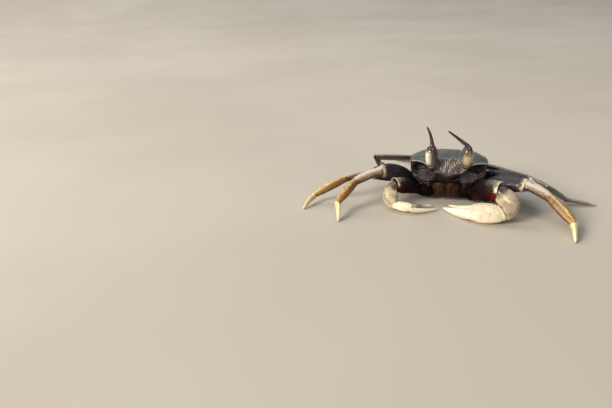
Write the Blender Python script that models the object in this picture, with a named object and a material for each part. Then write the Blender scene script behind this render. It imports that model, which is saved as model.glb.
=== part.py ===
"""Horned ghost crab (Ocypode ceratophthalmus), a life-size still model in a resting pose.

Every size is in millimetres and is turned into metres when a mesh is made. The crab faces -Y, up is +Z,
and its left side is +X. A leg is set by its first joint and by the length, turn and pitch of each segment.
"""
import math

import bmesh
import bpy
from mathutils import Vector

MM = 0.001
GAP = 0.3  # clearance between neighbouring pieces
LEFT, RIGHT = 1, -1

# ---- driving sizes of the body ----
HALF_WIDTH = 22.5  # carapace, at the outer orbital corners
FRONT_Y, BACK_Y = -18.0, 18.5
CROWN_Z = 26.9  # highest point of the back
BELLY_Z = 4.7
FACE_BOTTOM_Z = 3.3
MOUTH_BACK_Y = -12.6  # the face block ends here, and the leg-bearing underbody begins

# half width of the carapace and height of its side margin, along its length (0 front, 1 back)
PLAN = ((0.0, 22.0), (0.1, 22.6), (0.3, 22.7), (0.55, 21.6), (0.75, 19.6), (0.88, 16.8), (0.96, 13.2),
        (1.0, 10.4))
MARGIN = ((0.0, 25.0), (0.3, 24.5), (0.55, 23.2), (0.75, 21.4), (0.9, 19.0), (1.0, 16.8))
# lower edge of the side, and height of the back on the midline
SKIRT = ((0.15, 13.4), (0.35, 14.4), (0.6, 17.4), (0.78, 17.0), (0.92, 14.4), (1.0, 12.6))
CROWN = ((0.0, 25.4), (0.2, 26.6), (0.45, CROWN_Z), (0.65, 26.0), (0.8, 24.0), (0.92, 21.0), (1.0, 17.8))
# the front margin as distance from the midline, y and z: rostrum, inner orbit, brow, outer corner
BROW_Y = ((0.0, -21.0), (4.0, -20.4), (8.0, -20.0), (11.0, -19.4), (14.0, -18.8), (18.0, -17.6),
          (22.5, -16.0))
BROW_Z = ((0.0, 17.4), (4.0, 18.9), (8.0, 19.6), (11.0, 22.6), (14.0, 24.7), (18.0, 25.4), (22.5, 24.8))
# lower outline of the face, as half width and height, from the middle of the mouth to the side wall
FACE_SIDE = ((0.0, 3.3), (5.0, 3.2), (9.4, 3.7), (10.6, 7.8), (15.2, 10.8), (20.2, 14.0), (22.1, 19.0))
# the same places behind the face: half width, and height from the skirt's edge (0) to the margin (1)
SIDE_WALL = ((0.0, 0.0), (5.0, 0.0), (9.4, 0.0), (12.8, 0.0), (16.4, 0.0), (20.0, 0.3), (21.9, 0.65))
CROWN_POWER = 3.6  # how flat the back is before it turns down to its side margin
REAR_MIDDLE = (0.0, BACK_Y + 1.0, 15.4)
REAR_RING = 0.45  # how far in towards its middle the last ring is drawn

# ---- the front face: its plane, its bow and its sweep back to the sides ----
FACE_Y, FACE_BOW, FACE_SWEEP = -18.6, 0.9, 2.6
FACE_MIDDLE = (0.0, -17.6, 14.4)
FACE_STEPS = (0.78, 0.56, 0.36, 0.2, 0.09)  # how far in from the rim its rings lie
BROW_ROOM = 0.35  # from the brow's edge back to the face below it
# hollows and bulges, as (distance from the midline, height, half width, half height) and their depth
ORBIT, ORBIT_DEPTH = (15.2, 20.6, 6.4, 4.0), 4.4
LOBE, LOBE_PROUD = (12.4, 16.4, 5.8, 3.9), 2.0
MOUTH, MOUTH_DEPTH = (0.0, 8.0, 9.6, 5.8), 1.9

# ---- mouthparts, antennae and abdomen ----
MOUTHPART_LOW, MOUTHPART_TALL = 3.5, 9.3
MOUTHPART_BACK, MOUTHPART_FRONT = -18.75, -20.3
MOUTHPART_BOW = 0.9
MOUTHPART_SPLIT = 0.16  # from the midline to each plate
MOUTHPART_WIDTH = ((0.0, 6.6), (0.15, 8.2), (0.6, 8.6), (0.9, 7.9), (1.0, 6.0))
ANTENNA_FOOT, ANTENNA_TIP = (5.4, -20.1, 14.9), (8.2, -22.4, 16.9)
ANTENNA_SIZE = ((0.0, 1.3), (0.4, 1.1), (1.0, 0.55))
ABDOMEN_BACK, ABDOMEN_FRONT = BACK_Y - 3.0, -5.0
ABDOMEN_WIDTH = ((0.0, 6.2), (0.2, 6.0), (0.4, 4.0), (0.8, 2.9), (1.0, 1.4))
ABDOMEN_THICK, ABDOMEN_RISE = 1.1, 1.6

# ---- leg segments: (station, size) of the broad and of the thin way, before each leg's own scale ----
MERUS_DEPTH = ((0.0, 5.0), (0.15, 7.4), (0.45, 9.4), (0.8, 8.6), (0.95, 7.4), (1.0, 6.9))
MERUS_THICK = ((0.0, 3.8), (0.3, 4.4), (0.8, 4.2), (1.0, 4.0))
CARPUS_DEPTH = ((0.0, 4.4), (0.15, 5.2), (0.6, 5.6), (0.9, 5.4), (1.0, 4.8))
CARPUS_THICK = ((0.0, 3.2), (0.3, 3.9), (0.9, 4.1), (1.0, 3.6))
PROPODUS_DEPTH = ((0.0, 4.2), (0.3, 5.6), (0.7, 5.2), (0.95, 3.7), (1.0, 3.4))
PROPODUS_THICK = ((0.0, 3.2), (0.4, 3.7), (1.0, 2.7))
DACTYL_DEPTH = ((0.0, 2.9), (0.25, 3.3), (0.6, 2.7), (0.9, 1.7), (1.0, 1.1))
DACTYL_THICK = ((0.0, 2.2), (0.5, 1.8), (1.0, 1.0))
MERUS_BOW, CARPUS_BOW, PROPODUS_BOW, DACTYL_BOW = 0.9, 0.5, 0.5, 0.7
LEG_SIDES = 8
TIP_HEIGHT = 0.5  # middle of a dactyl's tip above the floor

# ---- the pose: side, hip, first joint, lean of the leg's plane, scale, (length, turn, pitch) of each ----
# turn is degrees forward from straight out sideways; the last pitch is such that the tip meets the floor
LEGS = {
    "leg_2_right": (RIGHT, (12, -8, 8.5), (19, -11.6, 9.5), -40, 1.0,
                    ((26.5, 34, 24.5), (17.5, 33, -13.5), (18.5, 57, -30), (13.0, 104))),
    "leg_2_left": (LEFT, (12, -8, 8.5), (19, -11.6, 9.5), -40, 1.0,
                   ((28.5, 27, 13), (15.0, 44, -7), (19.5, 49, -28), (12.5, 92))),
    "leg_3_right": (RIGHT, (13, -1, 8.5), (20.5, -3.6, 9.2), -30, 0.98,
                    ((29.2, 22, 10.0), (18.0, 40, 1), (23.0, 23, -25), (13.5, 71))),
    "leg_3_left": (LEFT, (13, -1, 10), (20.5, -3.0, 12.5), -28, 0.95,
                   ((30.5, 29, 3), (15.0, 48, -15), (18.0, 47, -23), (12.0, 96))),
    "leg_4_right": (RIGHT, (13, 7, 13), (20.8, 10.0, 17.2), 62, 0.88,
                    ((26.8, 16, 4.5), (11.5, -97, -46), (14.5, -92, -26), (15.0, -70))),
    "leg_4_left": (LEFT, (13, 7, 13), (20.0, 8.0, 15.5), 62, 0.92,
                   ((32.0, 34, -1), (12.0, 34, -11), (17.5, -27, -35), (16.5, -1))),
    "leg_5_right": (RIGHT, (9.5, 11, 8.5), (13.5, 17.0, 8.8), -30, 0.66,
                    ((17.5, -72, -2), (9.5, -60, -26), (9.5, -40, -12), (9.5, -20))),
    "leg_5_left": (LEFT, (9.5, 11, 8.5), (13.0, 17.0, 8.2), -30, 0.66,
                   ((18.0, -88, -4), (9.5, -74, -22), (9.5, -55, -9), (9.5, -38))),
}
HIP_WIDTH, HIP_END_WIDTH = 5.8, 4.8
CLAW_ROOT_SCALE = 1.0

# ---- claws, each as the places of its joints, with the sizes of palm and fingers ----
CLAWS = {
    "major": dict(side=LEFT, hip=(11.5, -9.5, 7.6), shoulder=(15.6, -17.5, 6.8), elbow=(28.6, -31.2, 14.0),
                  carpus_bulge=(37.0, -35.9, 10.2), wrist=(32.8, -41.8, 4.9), palm_end=(14.9, -39.8, 4.3),
                  near_tip=(-0.9, -32.3, 1.7), far_tip=(2.1, -28.4, 2.3), roll=19,
                  merus=(13.4, 9.0), carpus=(13.4, 11.8), palm=(14.0, 7.6),
                  near=(5.7, 5.0), far=(4.2, 4.0)),
    "minor": dict(side=RIGHT, hip=(11.5, -9.5, 7.6), shoulder=(15.6, -17.9, 6.5), elbow=(30.6, -26.7, 11.7),
                  carpus_bulge=(36.8, -31.4, 8.8), wrist=(29.9, -37.2, 3.4), palm_end=(18.7, -38.7, 2.9),
                  near_tip=(4.6, -33.6, 1.3), far_tip=(7.8, -29.4, 1.7), roll=16,
                  merus=(8.6, 6.8), carpus=(9.0, 7.8), palm=(8.4, 5.4),
                  near=(3.9, 3.5), far=(3.0, 2.8)),
}

# shapes along a claw's pieces, as parts of the full sizes above
PALM_END = 0.78  # height of the palm's end, of its full height
PALM_HEIGHT = ((0.0, 0.58), (0.12, 0.72), (0.28, 0.81), (0.5, 1.0), (0.8, 0.92), (1.0, PALM_END))
PALM_THICK = ((0.0, 0.72), (0.2, 1.0), (0.6, 1.0), (1.0, 0.74))
CLAW_MERUS_TALL = ((0.0, 0.52), (0.3, 0.84), (0.7, 1.0), (1.0, 0.86))
CLAW_MERUS_THICK = ((0.0, 0.62), (0.5, 1.0), (1.0, 0.9))
# a claw's carpus, which starts as wide as the merus
CARPUS_WIDE = ((0.2, 0.56), (0.5, 0.95), (0.8, 0.84), (1.0, 0.6))
CARPUS_DEEP = ((0.2, 0.86), (0.5, 1.0), (0.8, 0.86), (1.0, 0.52))
ELBOW_SPUR = 4.0  # how far a claw's mitres may run on beyond the joint

# ---- eyes: base and top of the stalk, the way the cornea faces, and the horn's tip and bow ----
EYES = {
    "right": dict(base=(-9.2, -18.9, 20.9), top=(-10.9, -17.6, 34.9), out=(-1.0, -0.1, 0.0),
                  horn_tip=(-13.8, -16.4, 46.8), horn_bow=(0.7, 0.0, 0.3)),
    "left": dict(base=(10.7, -18.4, 22.2), top=(10.5, -17.0, 35.6), out=(0.45, -1.0, 0.0),
                 horn_tip=(-1.3, -15.6, 44.2), horn_bow=(0.0, 0.0, 0.1)),
}
EYE_WIDTH, EYE_DEPTH = 6.9, 6.1
HORN_ROOT, HORN_TIP = 2.6, 1.1

# ---- colours: base colour, roughness ----
FINISHES = {
    "carapace": ((0.10, 0.115, 0.125), 0.35),
    "underbody": ((0.22, 0.16, 0.13), 0.5),
    "mouthpart": ((0.14, 0.06, 0.03), 0.5),
    "stalk": ((0.10, 0.07, 0.06), 0.45),
    "cornea": ((0.80, 0.72, 0.56), 0.2),
    "horn": ((0.06, 0.035, 0.03), 0.4),
    "merus": ((0.035, 0.03, 0.05), 0.3),
    "carpus": ((0.45, 0.38, 0.36), 0.5),
    "propodus": ((0.45, 0.28, 0.09), 0.45),
    "dactyl": ((0.72, 0.60, 0.33), 0.45),
    "claw": ((0.82, 0.77, 0.64), 0.45),
    "claw_arm": ((0.09, 0.03, 0.03), 0.35),
}


def finish(kind):
    """The Principled material of one kind of piece, made once."""
    if kind in bpy.data.materials:
        return bpy.data.materials[kind]
    colour, roughness = FINISHES[kind]
    material = bpy.data.materials.new(kind)
    material.use_nodes = True
    shader = material.node_tree.nodes["Principled BSDF"]
    shader.inputs["Base Color"].default_value = (*colour, 1.0)
    shader.inputs["Roughness"].default_value = roughness
    shader.inputs["Metallic"].default_value = 0.0
    return material


def value_at(knots, t):
    """A smooth value through (station, value) knots."""
    last = len(knots) - 1
    if t <= knots[0][0]:
        return knots[0][1]
    if t >= knots[last][0]:
        return knots[last][1]
    k = max(i for i in range(last) if knots[i][0] <= t)
    (t0, v0), (t1, v1) = knots[k], knots[k + 1]
    slopes = []
    for i in (k, k + 1):
        a, b = knots[max(i - 1, 0)], knots[min(i + 1, last)]
        slopes.append((b[1] - a[1]) / (b[0] - a[0]))
    span = t1 - t0
    u = (t - t0) / span
    h = u * u * (3.0 - 2.0 * u)
    return v0 + (v1 - v0) * h + span * (slopes[0] * u * (1 - u) ** 2 - slopes[1] * u * u * (1 - u))


def smooth(t):
    t = min(max(t, 0.0), 1.0)
    return t * t * (3.0 - 2.0 * t)


def new_object(name, vertices, faces, kind):
    mesh = bpy.data.meshes.new(name)
    mesh.from_pydata([Vector(v) * MM for v in vertices], [], faces)
    bm = bmesh.new()
    bm.from_mesh(mesh)
    bmesh.ops.recalc_face_normals(bm, faces=bm.faces)
    bm.to_mesh(mesh)
    bm.free()
    for polygon in mesh.polygons:
        polygon.use_smooth = True
    piece = bpy.data.objects.new(name, mesh)
    piece.data.materials.append(finish(kind))
    bpy.context.scene.collection.objects.link(piece)
    return piece


def skin_rings(rings, start_point=None, end_point=None):
    """Vertices and faces of a closed tube through the rings; each end is a flat cap or a fan to a point."""
    count = len(rings[0])
    vertices = [v for ring in rings for v in ring]
    faces = []
    for k in range(len(rings) - 1):
        for i in range(count):
            j = (i + 1) % count
            faces.append((k * count + i, k * count + j, (k + 1) * count + j, (k + 1) * count + i))
    for point, first in ((start_point, 0), (end_point, (len(rings) - 1) * count)):
        if point is None:
            faces.append(tuple(range(first, first + count)))
            continue
        vertices.append(point)
        hub = len(vertices) - 1
        faces += [(first + i, first + (i + 1) % count, hub) for i in range(count)]
    return vertices, faces


def oval(sides, depth, thick, power=2.0):
    """Points of a superellipse as offsets along the broad way and the thin way."""
    points = []
    for i in range(sides):
        angle = 2.0 * math.pi * (i + 0.5) / sides
        c, s = math.cos(angle), math.sin(angle)
        u = math.copysign(abs(c) ** (2.0 / power), c) * depth / 2.0
        v = math.copysign(abs(s) ** (2.0 / power), s) * thick / 2.0
        points.append((u, v))
    return points


def heading(side, turn, pitch):
    a, p = math.radians(turn), math.radians(pitch)
    return Vector((side * math.cos(p) * math.cos(a), -math.cos(p) * math.sin(a), math.sin(p)))


LIMB_STATIONS = (0.0, 0.1, 0.3, 0.52, 0.75, 0.91, 1.0)


def limb_rings(start, end, broad_way, depth, thick, bow=0.0, cuts=(None, None), stations=LIMB_STATIONS,
               sides=LEG_SIDES, power=2.2, floor=False, bulge=None, spur=1.5):
    """Rings of a limb segment. cuts are the normals of the mitres at start and end; None is a square end.

    spur is how far a mitre may run on beyond the joint, on the outside of a sharp bend.
    """
    axis = (end - start).normalized()
    length = (end - start).length
    broad = (broad_way - axis * broad_way.dot(axis)).normalized()
    thin = axis.cross(broad)
    reach = 0.3 * length
    rings = []
    for t in stations:
        centre = start.lerp(end, t) + broad * (4.0 * bow * t * (1.0 - t))
        if bulge is not None:
            centre = start * (1 - t) ** 2 + bulge * (2 * t * (1 - t)) + end * t * t
        ring = []
        for u, v in oval(sides, value_at(depth, t), value_at(thick, t), power):
            offset = broad * u + thin * v
            shift = 0.0
            for normal, distance, sign in ((cuts[0], t * length, 1), (cuts[1], (1 - t) * length, -1)):
                if normal is not None and distance < reach:
                    fade = 1.0 - distance / reach
                    run = (sign * GAP / 2.0 - offset.dot(normal)) / normal.dot(axis)
                    shift += fade * sign * max(sign * run, -spur)
            point = centre + offset + axis * shift
            if floor:
                point.z = max(point.z, 0.0)
            ring.append(point)
        rings.append(ring)
    return rings


def scaled(knots, factor):
    return tuple((t, v * factor) for t, v in knots)


# ---------------------------------------------------------------- carapace

TOP_STEPS = (1.0, 0.93, 0.82, 0.7, 0.58, 0.46, 0.34, 0.2, 0.0)
BODY_STATIONS = (0.0, 0.035, 0.08, 0.15, 0.19, 0.32, 0.48, 0.62, 0.74, 0.84, 0.91, 0.96, 1.0)


def back_height(x, t):
    """Height of the back over the point x from the midline at station t, with its drop to the rostrum."""
    half = value_at(PLAN, t)
    crown, margin = value_at(CROWN, t), value_at(MARGIN, t)
    height = crown + (margin - crown) * min(abs(x) / half, 1.0) ** CROWN_POWER
    fall = 1.0 - smooth(t / 0.15)
    return height + (value_at(BROW_Z, abs(x)) - height) * fall


def carapace_ring(t):
    """One closed section of the carapace, from the middle of its floor round by the left side."""
    y = FRONT_Y + (BACK_Y - FRONT_Y) * t
    half = value_at(PLAN, t)
    face = 1.0 - smooth((y - MOUTH_BACK_Y) / 1.2)
    sweep = 1.0 - smooth(t / 0.3)
    narrow = half / value_at(PLAN, 0.2)
    left = []
    skirt, margin = value_at(SKIRT, t), value_at(MARGIN, t)
    for (fx, fz), (sx, rise) in zip(FACE_SIDE, SIDE_WALL):
        x = sx * narrow + (fx - sx * narrow) * face
        z = skirt + (margin - skirt) * rise
        z += (fz - z) * face
        left.append(Vector((x, y + sweep * 2.0 * (x / HALF_WIDTH) ** 2, z)))
    for step in TOP_STEPS:
        x = half * step
        lead = value_at(BROW_Y, x) - FRONT_Y
        left.append(Vector((x, y + lead * sweep, back_height(x, t))))
    right = [Vector((-p.x, p.y, p.z)) for p in reversed(left[1:-1])]
    return left + right


def spot_distances(x, z, spot):
    """How far a point of the face lies from a spot's middle, along each axis, in the spot's half sizes."""
    across, height, half_width, half_height = spot
    return abs(abs(x) - across) / half_width, abs(z - height) / half_height


def face_point(rim, inward):
    """A point of the front face, from the rim (0) in to the middle (1), with its hollows and bulges."""
    x = rim.x * (1.0 - inward)
    z = rim.z + (FACE_MIDDLE[2] - rim.z) * inward
    y = FACE_Y - FACE_BOW * (1.0 - (x / HALF_WIDTH) ** 2)
    y += FACE_SWEEP * (abs(x) / HALF_WIDTH) ** 2
    y += ORBIT_DEPTH * smooth(1.08 - sum(part ** 2 for part in spot_distances(x, z, ORBIT)))
    y -= LOBE_PROUD * smooth(1.2 - sum(part ** 2 for part in spot_distances(x, z, LOBE)))
    y += MOUTH_DEPTH * smooth((1.08 - max(spot_distances(x, z, MOUTH))) * 4.0)
    return Vector((x, y, z))


def make_carapace():
    body = [carapace_ring(t) for t in BODY_STATIONS]
    front = [[face_point(p, k) for p in body[0]] for k in FACE_STEPS]
    for ring in front:
        for point, rim in zip(ring, body[0]):
            point.y = max(point.y, rim.y + BROW_ROOM) if rim.z > 16.0 else point.y
    rear = [p.lerp(Vector(REAR_MIDDLE), REAR_RING) for p in body[-1]]
    for point in rear:
        point.y = BACK_Y + 0.8
    rings = front + body + [rear]
    vertices, faces = skin_rings(rings, Vector(FACE_MIDDLE), Vector(REAR_MIDDLE))
    shell = new_object("carapace", vertices, faces, "carapace")
    for claw in CLAWS.values():
        combine(shell, claw_root_rings(claw, GAP), "DIFFERENCE")
    for leg in LEGS.values():
        combine(shell, leg_root_rings(leg, GAP), "DIFFERENCE")
    for eye in EYES.values():
        seat = [eye_ring(eye, t, 12, -WHOLE, WHOLE, GAP) for t in (-0.03, 0.08, 0.2, 0.32, 0.45)]
        combine(shell, seat, "DIFFERENCE")
    return shell


# ---------------------------------------------------------------- underbody

UNDER_PLAN = ((0.0, 11.5), (0.15, 15.0), (0.6, 15.0), (0.85, 11.6), (1.0, 8.4))
UNDER_STEPS = (0.21, 0.26, 0.32, 0.48, 0.62, 0.74, 0.84, 0.91, 0.96)  # as the carapace's stations
UNDER_PLACES = tuple(FRONT_Y + (BACK_Y - FRONT_Y) * t for t in UNDER_STEPS)


def make_underbody():
    """The floor of the body, with the ten leg roots grown out of it."""
    rings = []
    for y in UNDER_PLACES:
        t = (y - UNDER_PLACES[0]) / (UNDER_PLACES[-1] - UNDER_PLACES[0])
        half = value_at(UNDER_PLAN, t)
        top = value_at(SKIRT, (y - FRONT_Y) / (BACK_Y - FRONT_Y)) - GAP
        low = BELLY_Z + 1.6 * smooth((t - 0.6) / 0.4) + 0.5 * (1 - smooth(t / 0.1))
        wall = 0.45 * top + 0.55 * low + 0.6
        side = [(half, top), (half, wall), (0.72 * half, low + 1.1), (0.4 * half, low)]
        ring = [Vector((x, y, z)) for x, z in side] + [Vector((0.0, y, low + 0.2))]
        ring += [Vector((-x, y, z)) for x, z in reversed(side)] + [Vector((0.0, y, top))]
        rings.append(ring)
    body = new_object("underbody", *skin_rings(rings), "underbody")
    for leg in LEGS.values():
        combine(body, leg_root_rings(leg), "UNION")
    for claw in CLAWS.values():
        combine(body, claw_root_rings(claw), "UNION")
    return body


def root_rings(start, end, out, scale, grow=0.0):
    """A leg's root, from inside the body to its first joint, where the leg goes on in the direction out."""
    way = (end - start).normalized()
    normal = (way + out).normalized()
    end = end + way * 4.0 * grow
    wide, narrow = HIP_WIDTH * scale + 2 * grow, HIP_END_WIDTH * scale + 2 * grow
    size = ((0.0, wide), (0.6, wide), (1.0, narrow))
    return limb_rings(start, end, Vector((0, 0.3, 1)), size, scaled(size, 0.86), cuts=(None, normal),
                      stations=(0.0, 0.55, 0.85, 1.0), sides=10)


def leg_root_rings(leg, grow=0.0):
    side, hip, joint, lean, scale, segments = leg
    out = heading(side, *segments[0][1:3])
    return root_rings(side_point(side, hip), side_point(side, joint), out, scale, grow)


def claw_root_rings(claw, grow=0.0):
    start, end = side_point(claw["side"], claw["hip"]), side_point(claw["side"], claw["shoulder"])
    out = (side_point(claw["side"], claw["elbow"]) - end).normalized()
    return root_rings(start, end, out, CLAW_ROOT_SCALE, grow)


def combine(body, rings, operation):
    """Grow the solid of these rings into the body (UNION), or cut it away (DIFFERENCE)."""
    extra = new_object("extra", *skin_rings(rings), "underbody")
    step = body.modifiers.new("step", "BOOLEAN")
    step.operation = operation
    step.solver = "EXACT"
    step.object = extra
    mesh = bpy.data.meshes.new_from_object(body.evaluated_get(bpy.context.evaluated_depsgraph_get()))
    body.modifiers.remove(step)
    body.data = mesh
    bpy.data.objects.remove(extra, do_unlink=True)


def make_abdomen():
    """The narrow male tail flap, folded forward under the body."""
    rings = []
    for t in (0.0, 0.2, 0.45, 0.7, 0.9, 1.0):
        y = ABDOMEN_BACK * (1 - t) + ABDOMEN_FRONT * t
        half = value_at(ABDOMEN_WIDTH, t)
        top = BELLY_Z - GAP + ABDOMEN_RISE * smooth(1.0 - t / 0.35)
        low = top - ABDOMEN_THICK
        ring = [(half, top - 0.2), (half * 0.6, top), (0.0, top), (-half * 0.6, top), (-half, top - 0.2)]
        ring += [(-half * 0.8, low), (0.0, low - 0.3), (half * 0.8, low)]
        rings.append([Vector((x, y, z)) for x, z in ring])
    return new_object("abdomen", *skin_rings(rings), "underbody")


# ---------------------------------------------------------------- face

def make_mouthpart(name, side):
    """An outer maxilliped: a bowed plate beside its neighbour, closing the mouth."""
    rings = []
    for t in (0.0, 0.12, 0.4, 0.7, 0.9, 1.0):
        z = MOUTHPART_LOW + MOUTHPART_TALL * t
        inner, outer = MOUTHPART_SPLIT, value_at(MOUTHPART_WIDTH, t)
        back, front = MOUTHPART_BACK, MOUTHPART_FRONT - MOUTHPART_BOW * math.sin(math.pi * t)
        points = [(inner, back), (inner, front - 0.3), (outer * 0.5, front), (outer * 0.85, front + 0.5),
                  (outer, front + 1.1), (outer, back), (outer * 0.5, back)]
        rings.append([Vector((side * x, y, z)) for x, y in points])
    return new_object(name, *skin_rings(rings), "mouthpart")


def make_antenna(name, side):
    rings = limb_rings(side_point(side, ANTENNA_FOOT), side_point(side, ANTENNA_TIP), Vector((0, 0, 1)),
                       ANTENNA_SIZE, ANTENNA_SIZE, bow=0.4, stations=(0, 0.3, 0.65, 1), sides=6)
    return new_object(name, *skin_rings(rings), "mouthpart")


def eye_frame(eye):
    base, top = Vector(eye["base"]), Vector(eye["top"])
    axis = (top - base).normalized()
    out = Vector(eye["out"])
    out = (out - axis * out.dot(axis)).normalized()
    return base, top, axis, out, axis.cross(out)


def eye_ring(eye, t, sides, low, high, grow=0.0):
    """A section of the whole eye, kept between the planes low and high along the way the cornea faces."""
    base, top, axis, out, across = eye_frame(eye)
    width = value_at(((0.0, 0.6), (0.15, 0.8), (0.45, 1.0), (0.8, 0.92), (0.93, 0.8), (1.0, 0.55)), t)
    wide, deep = EYE_WIDTH * width + 2 * grow, EYE_DEPTH * width + 2 * grow
    ring = []
    for u, v in oval(sides, wide, deep, 2.0):
        kept = min(max(u, low), high)
        if kept != u:
            chord = 0.47 * deep * math.sqrt(max(1.0 - (2.0 * kept / wide) ** 2, 0.0))
            v = min(max(v, -chord), chord)
        ring.append(base.lerp(top, t) + out * kept + across * v)
    return ring


CORNEA_FROM, CORNEA_TO = 0.13, 0.87
CORNEA_SEAT = -0.9  # the plane between stalk and cornea, behind the eye's axis
WHOLE = 99.0  # far enough out to cut nothing off a section


def make_eye(name, eye):
    seat = CORNEA_SEAT - GAP
    rings = [eye_ring(eye, t, 12, -WHOLE, high) for t, high in (
        (0.0, WHOLE), (CORNEA_FROM - 0.05, WHOLE), (CORNEA_FROM - 0.03, seat), (0.3, seat), (0.6, seat),
        (CORNEA_TO + 0.025, seat), (CORNEA_TO + 0.05, WHOLE), (0.96, WHOLE), (1.0, WHOLE))]
    stalk = new_object("eyestalk_" + name, *skin_rings(rings), "stalk")
    rings = []
    for t in (CORNEA_FROM, 0.17, 0.26, 0.4, 0.56, 0.72, 0.82, CORNEA_TO):
        along = 2.0 * (t - CORNEA_FROM) / (CORNEA_TO - CORNEA_FROM) - 1.0
        swell = math.sqrt(max(1.0 - along ** 4, 0.08))
        ring = eye_ring(eye, t, 12, CORNEA_SEAT, WHOLE)
        base, top, axis, out, across = eye_frame(eye)
        hub = base.lerp(top, t) + out * CORNEA_SEAT
        rings.append([hub + (p - hub) * swell for p in ring])
    cornea = new_object("cornea_" + name, *skin_rings(rings), "cornea")
    return stalk, cornea


def make_horn(name, eye):
    base, top, axis, out, across = eye_frame(eye)
    tip = Vector(eye["horn_tip"])
    start = top + axis * (GAP + 0.05)
    way = (tip - start).normalized()
    start = start - out * 0.9
    size = ((0.0, HORN_ROOT), (0.3, HORN_ROOT * 0.72), (0.8, HORN_TIP * 1.1), (1.0, HORN_TIP * 0.8))
    bow = Vector(eye["horn_bow"])
    middle = start.lerp(tip, 0.5) + bow * 2.0
    rings = limb_rings(start, tip, out, size, size, bulge=middle, stations=(0, 0.2, 0.45, 0.7, 0.9, 1.0),
                       sides=8)
    for point in rings[0]:
        point += axis * ((start - point).dot(axis))
    return new_object("horn_" + name, *skin_rings(rings), "horn")


# ---------------------------------------------------------------- legs

def side_point(side, point):
    return Vector((side * point[0], point[1], point[2]))


def leg_joints(side, joint, segments):
    """The five joints of a leg, from the first joint to the tip on the floor."""
    points = [side_point(side, joint)]
    for length, turn, pitch in segments[:3]:
        points.append(points[-1] + heading(side, turn, pitch) * length)
    length, turn = segments[3]
    drop = points[-1].z - TIP_HEIGHT
    points.append(points[-1] + heading(side, turn, -math.degrees(math.asin(drop / length))) * length)
    return points


def mitres(points, first):
    """The mitre plane's normal at each joint; first is the way of the piece before the first joint."""
    ways = [first] + [(b - a).normalized() for a, b in zip(points, points[1:])]
    return [(a + b).normalized() for a, b in zip(ways, ways[1:])]


def make_leg(name, side, hip, joint, lean, scale, segments):
    points = leg_joints(side, joint, segments)
    first = (points[0] - side_point(side, hip)).normalized()
    normals = mitres(points, first)
    lean = math.radians(lean)
    broad = Vector((0.0, -math.sin(lean), math.cos(lean)))
    parts = (
        ("merus", MERUS_DEPTH, MERUS_THICK, MERUS_BOW),
        ("carpus", CARPUS_DEPTH, CARPUS_THICK, CARPUS_BOW),
        ("propodus", PROPODUS_DEPTH, PROPODUS_THICK, PROPODUS_BOW),
        ("dactyl", DACTYL_DEPTH, DACTYL_THICK, DACTYL_BOW),
    )
    for k, (part, depth, thick, bow) in enumerate(parts):
        end_cut = normals[k + 1] if k < 3 else None
        rings = limb_rings(points[k], points[k + 1], broad, scaled(depth, scale), scaled(thick, scale),
                           bow=bow * scale, cuts=(normals[k], end_cut), floor=k == 3)
        new_object(name + "_" + part, *skin_rings(rings), part)


# ---------------------------------------------------------------- claws

def make_claw(name, c):
    side = c["side"]
    shoulder, elbow, wrist = (side_point(side, c[k]) for k in ("shoulder", "elbow", "wrist"))
    bulge, palm_end = side_point(side, c["carpus_bulge"]), side_point(side, c["palm_end"])
    near_tip, far_tip = side_point(side, c["near_tip"]), side_point(side, c["far_tip"])
    if side == LEFT:
        near_tip.x, far_tip.x = c["near_tip"][0], c["far_tip"][0]
    roll = math.radians(c["roll"])
    near_way = Vector((0.0, -math.cos(roll), -math.sin(roll)))
    hip = side_point(side, c["hip"])
    arm_way = (elbow - shoulder).normalized()
    palm_way = (palm_end - wrist).normalized()
    first = ((shoulder - hip).normalized() + arm_way).normalized()
    enter, leave = (bulge - elbow).normalized(), (wrist - bulge).normalized()
    at_elbow, at_wrist = (arm_way + enter).normalized(), (leave + palm_way).normalized()
    tall, thick = c["merus"]
    rings = limb_rings(shoulder, elbow, Vector((0, 0.3, 1)), scaled(CLAW_MERUS_TALL, tall),
                       scaled(CLAW_MERUS_THICK, thick), bow=0.6, cuts=(first, at_elbow), sides=10,
                       spur=ELBOW_SPUR)
    new_object("claw_%s_merus" % name, *skin_rings(rings), "claw_arm")
    wide, deep = c["carpus"]
    rings = curved_rings(elbow, bulge, wrist, Vector((side, 0, 0)),
                         ((0.0, thick * 0.72),) + scaled(CARPUS_WIDE, wide),
                         ((0.0, tall * 0.7),) + scaled(CARPUS_DEEP, deep), (at_elbow, at_wrist))
    new_object("claw_%s_carpus" % name, *skin_rings(rings), "claw")
    make_palm(name, c, wrist, palm_end, far_tip, near_way, at_wrist)
    make_finger(name, c, palm_end, near_tip, near_way, palm_way)


def curved_rings(start, middle, end, broad_way, depth, thick, normals, sides=12):
    """Rings along an arc from start by way of middle to end, cut to the two mitre planes."""
    rings = []
    for t in (0.0, 0.12, 0.28, 0.45, 0.62, 0.78, 0.9, 1.0):
        centre = start * (1 - t) ** 2 + middle * (2 * t * (1 - t)) + end * t * t
        way = ((middle - start) * (1 - t) + (end - middle) * t).normalized()
        broad = (broad_way - way * broad_way.dot(way)).normalized()
        thin = way.cross(broad)
        ring = []
        for u, v in oval(sides, value_at(depth, t), value_at(thick, t), 2.3):
            point = centre + broad * u + thin * v
            for joint, normal, near in ((start, normals[0], t), (end, -normals[1], 1 - t)):
                inside = (point - joint).dot(normal) - GAP / 2 - 5.0 * near
                if near < 0.5 and (inside < 0.0 or near == 0.0):
                    point -= normal * inside
            ring.append(point)
        rings.append(ring)
    return rings


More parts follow.
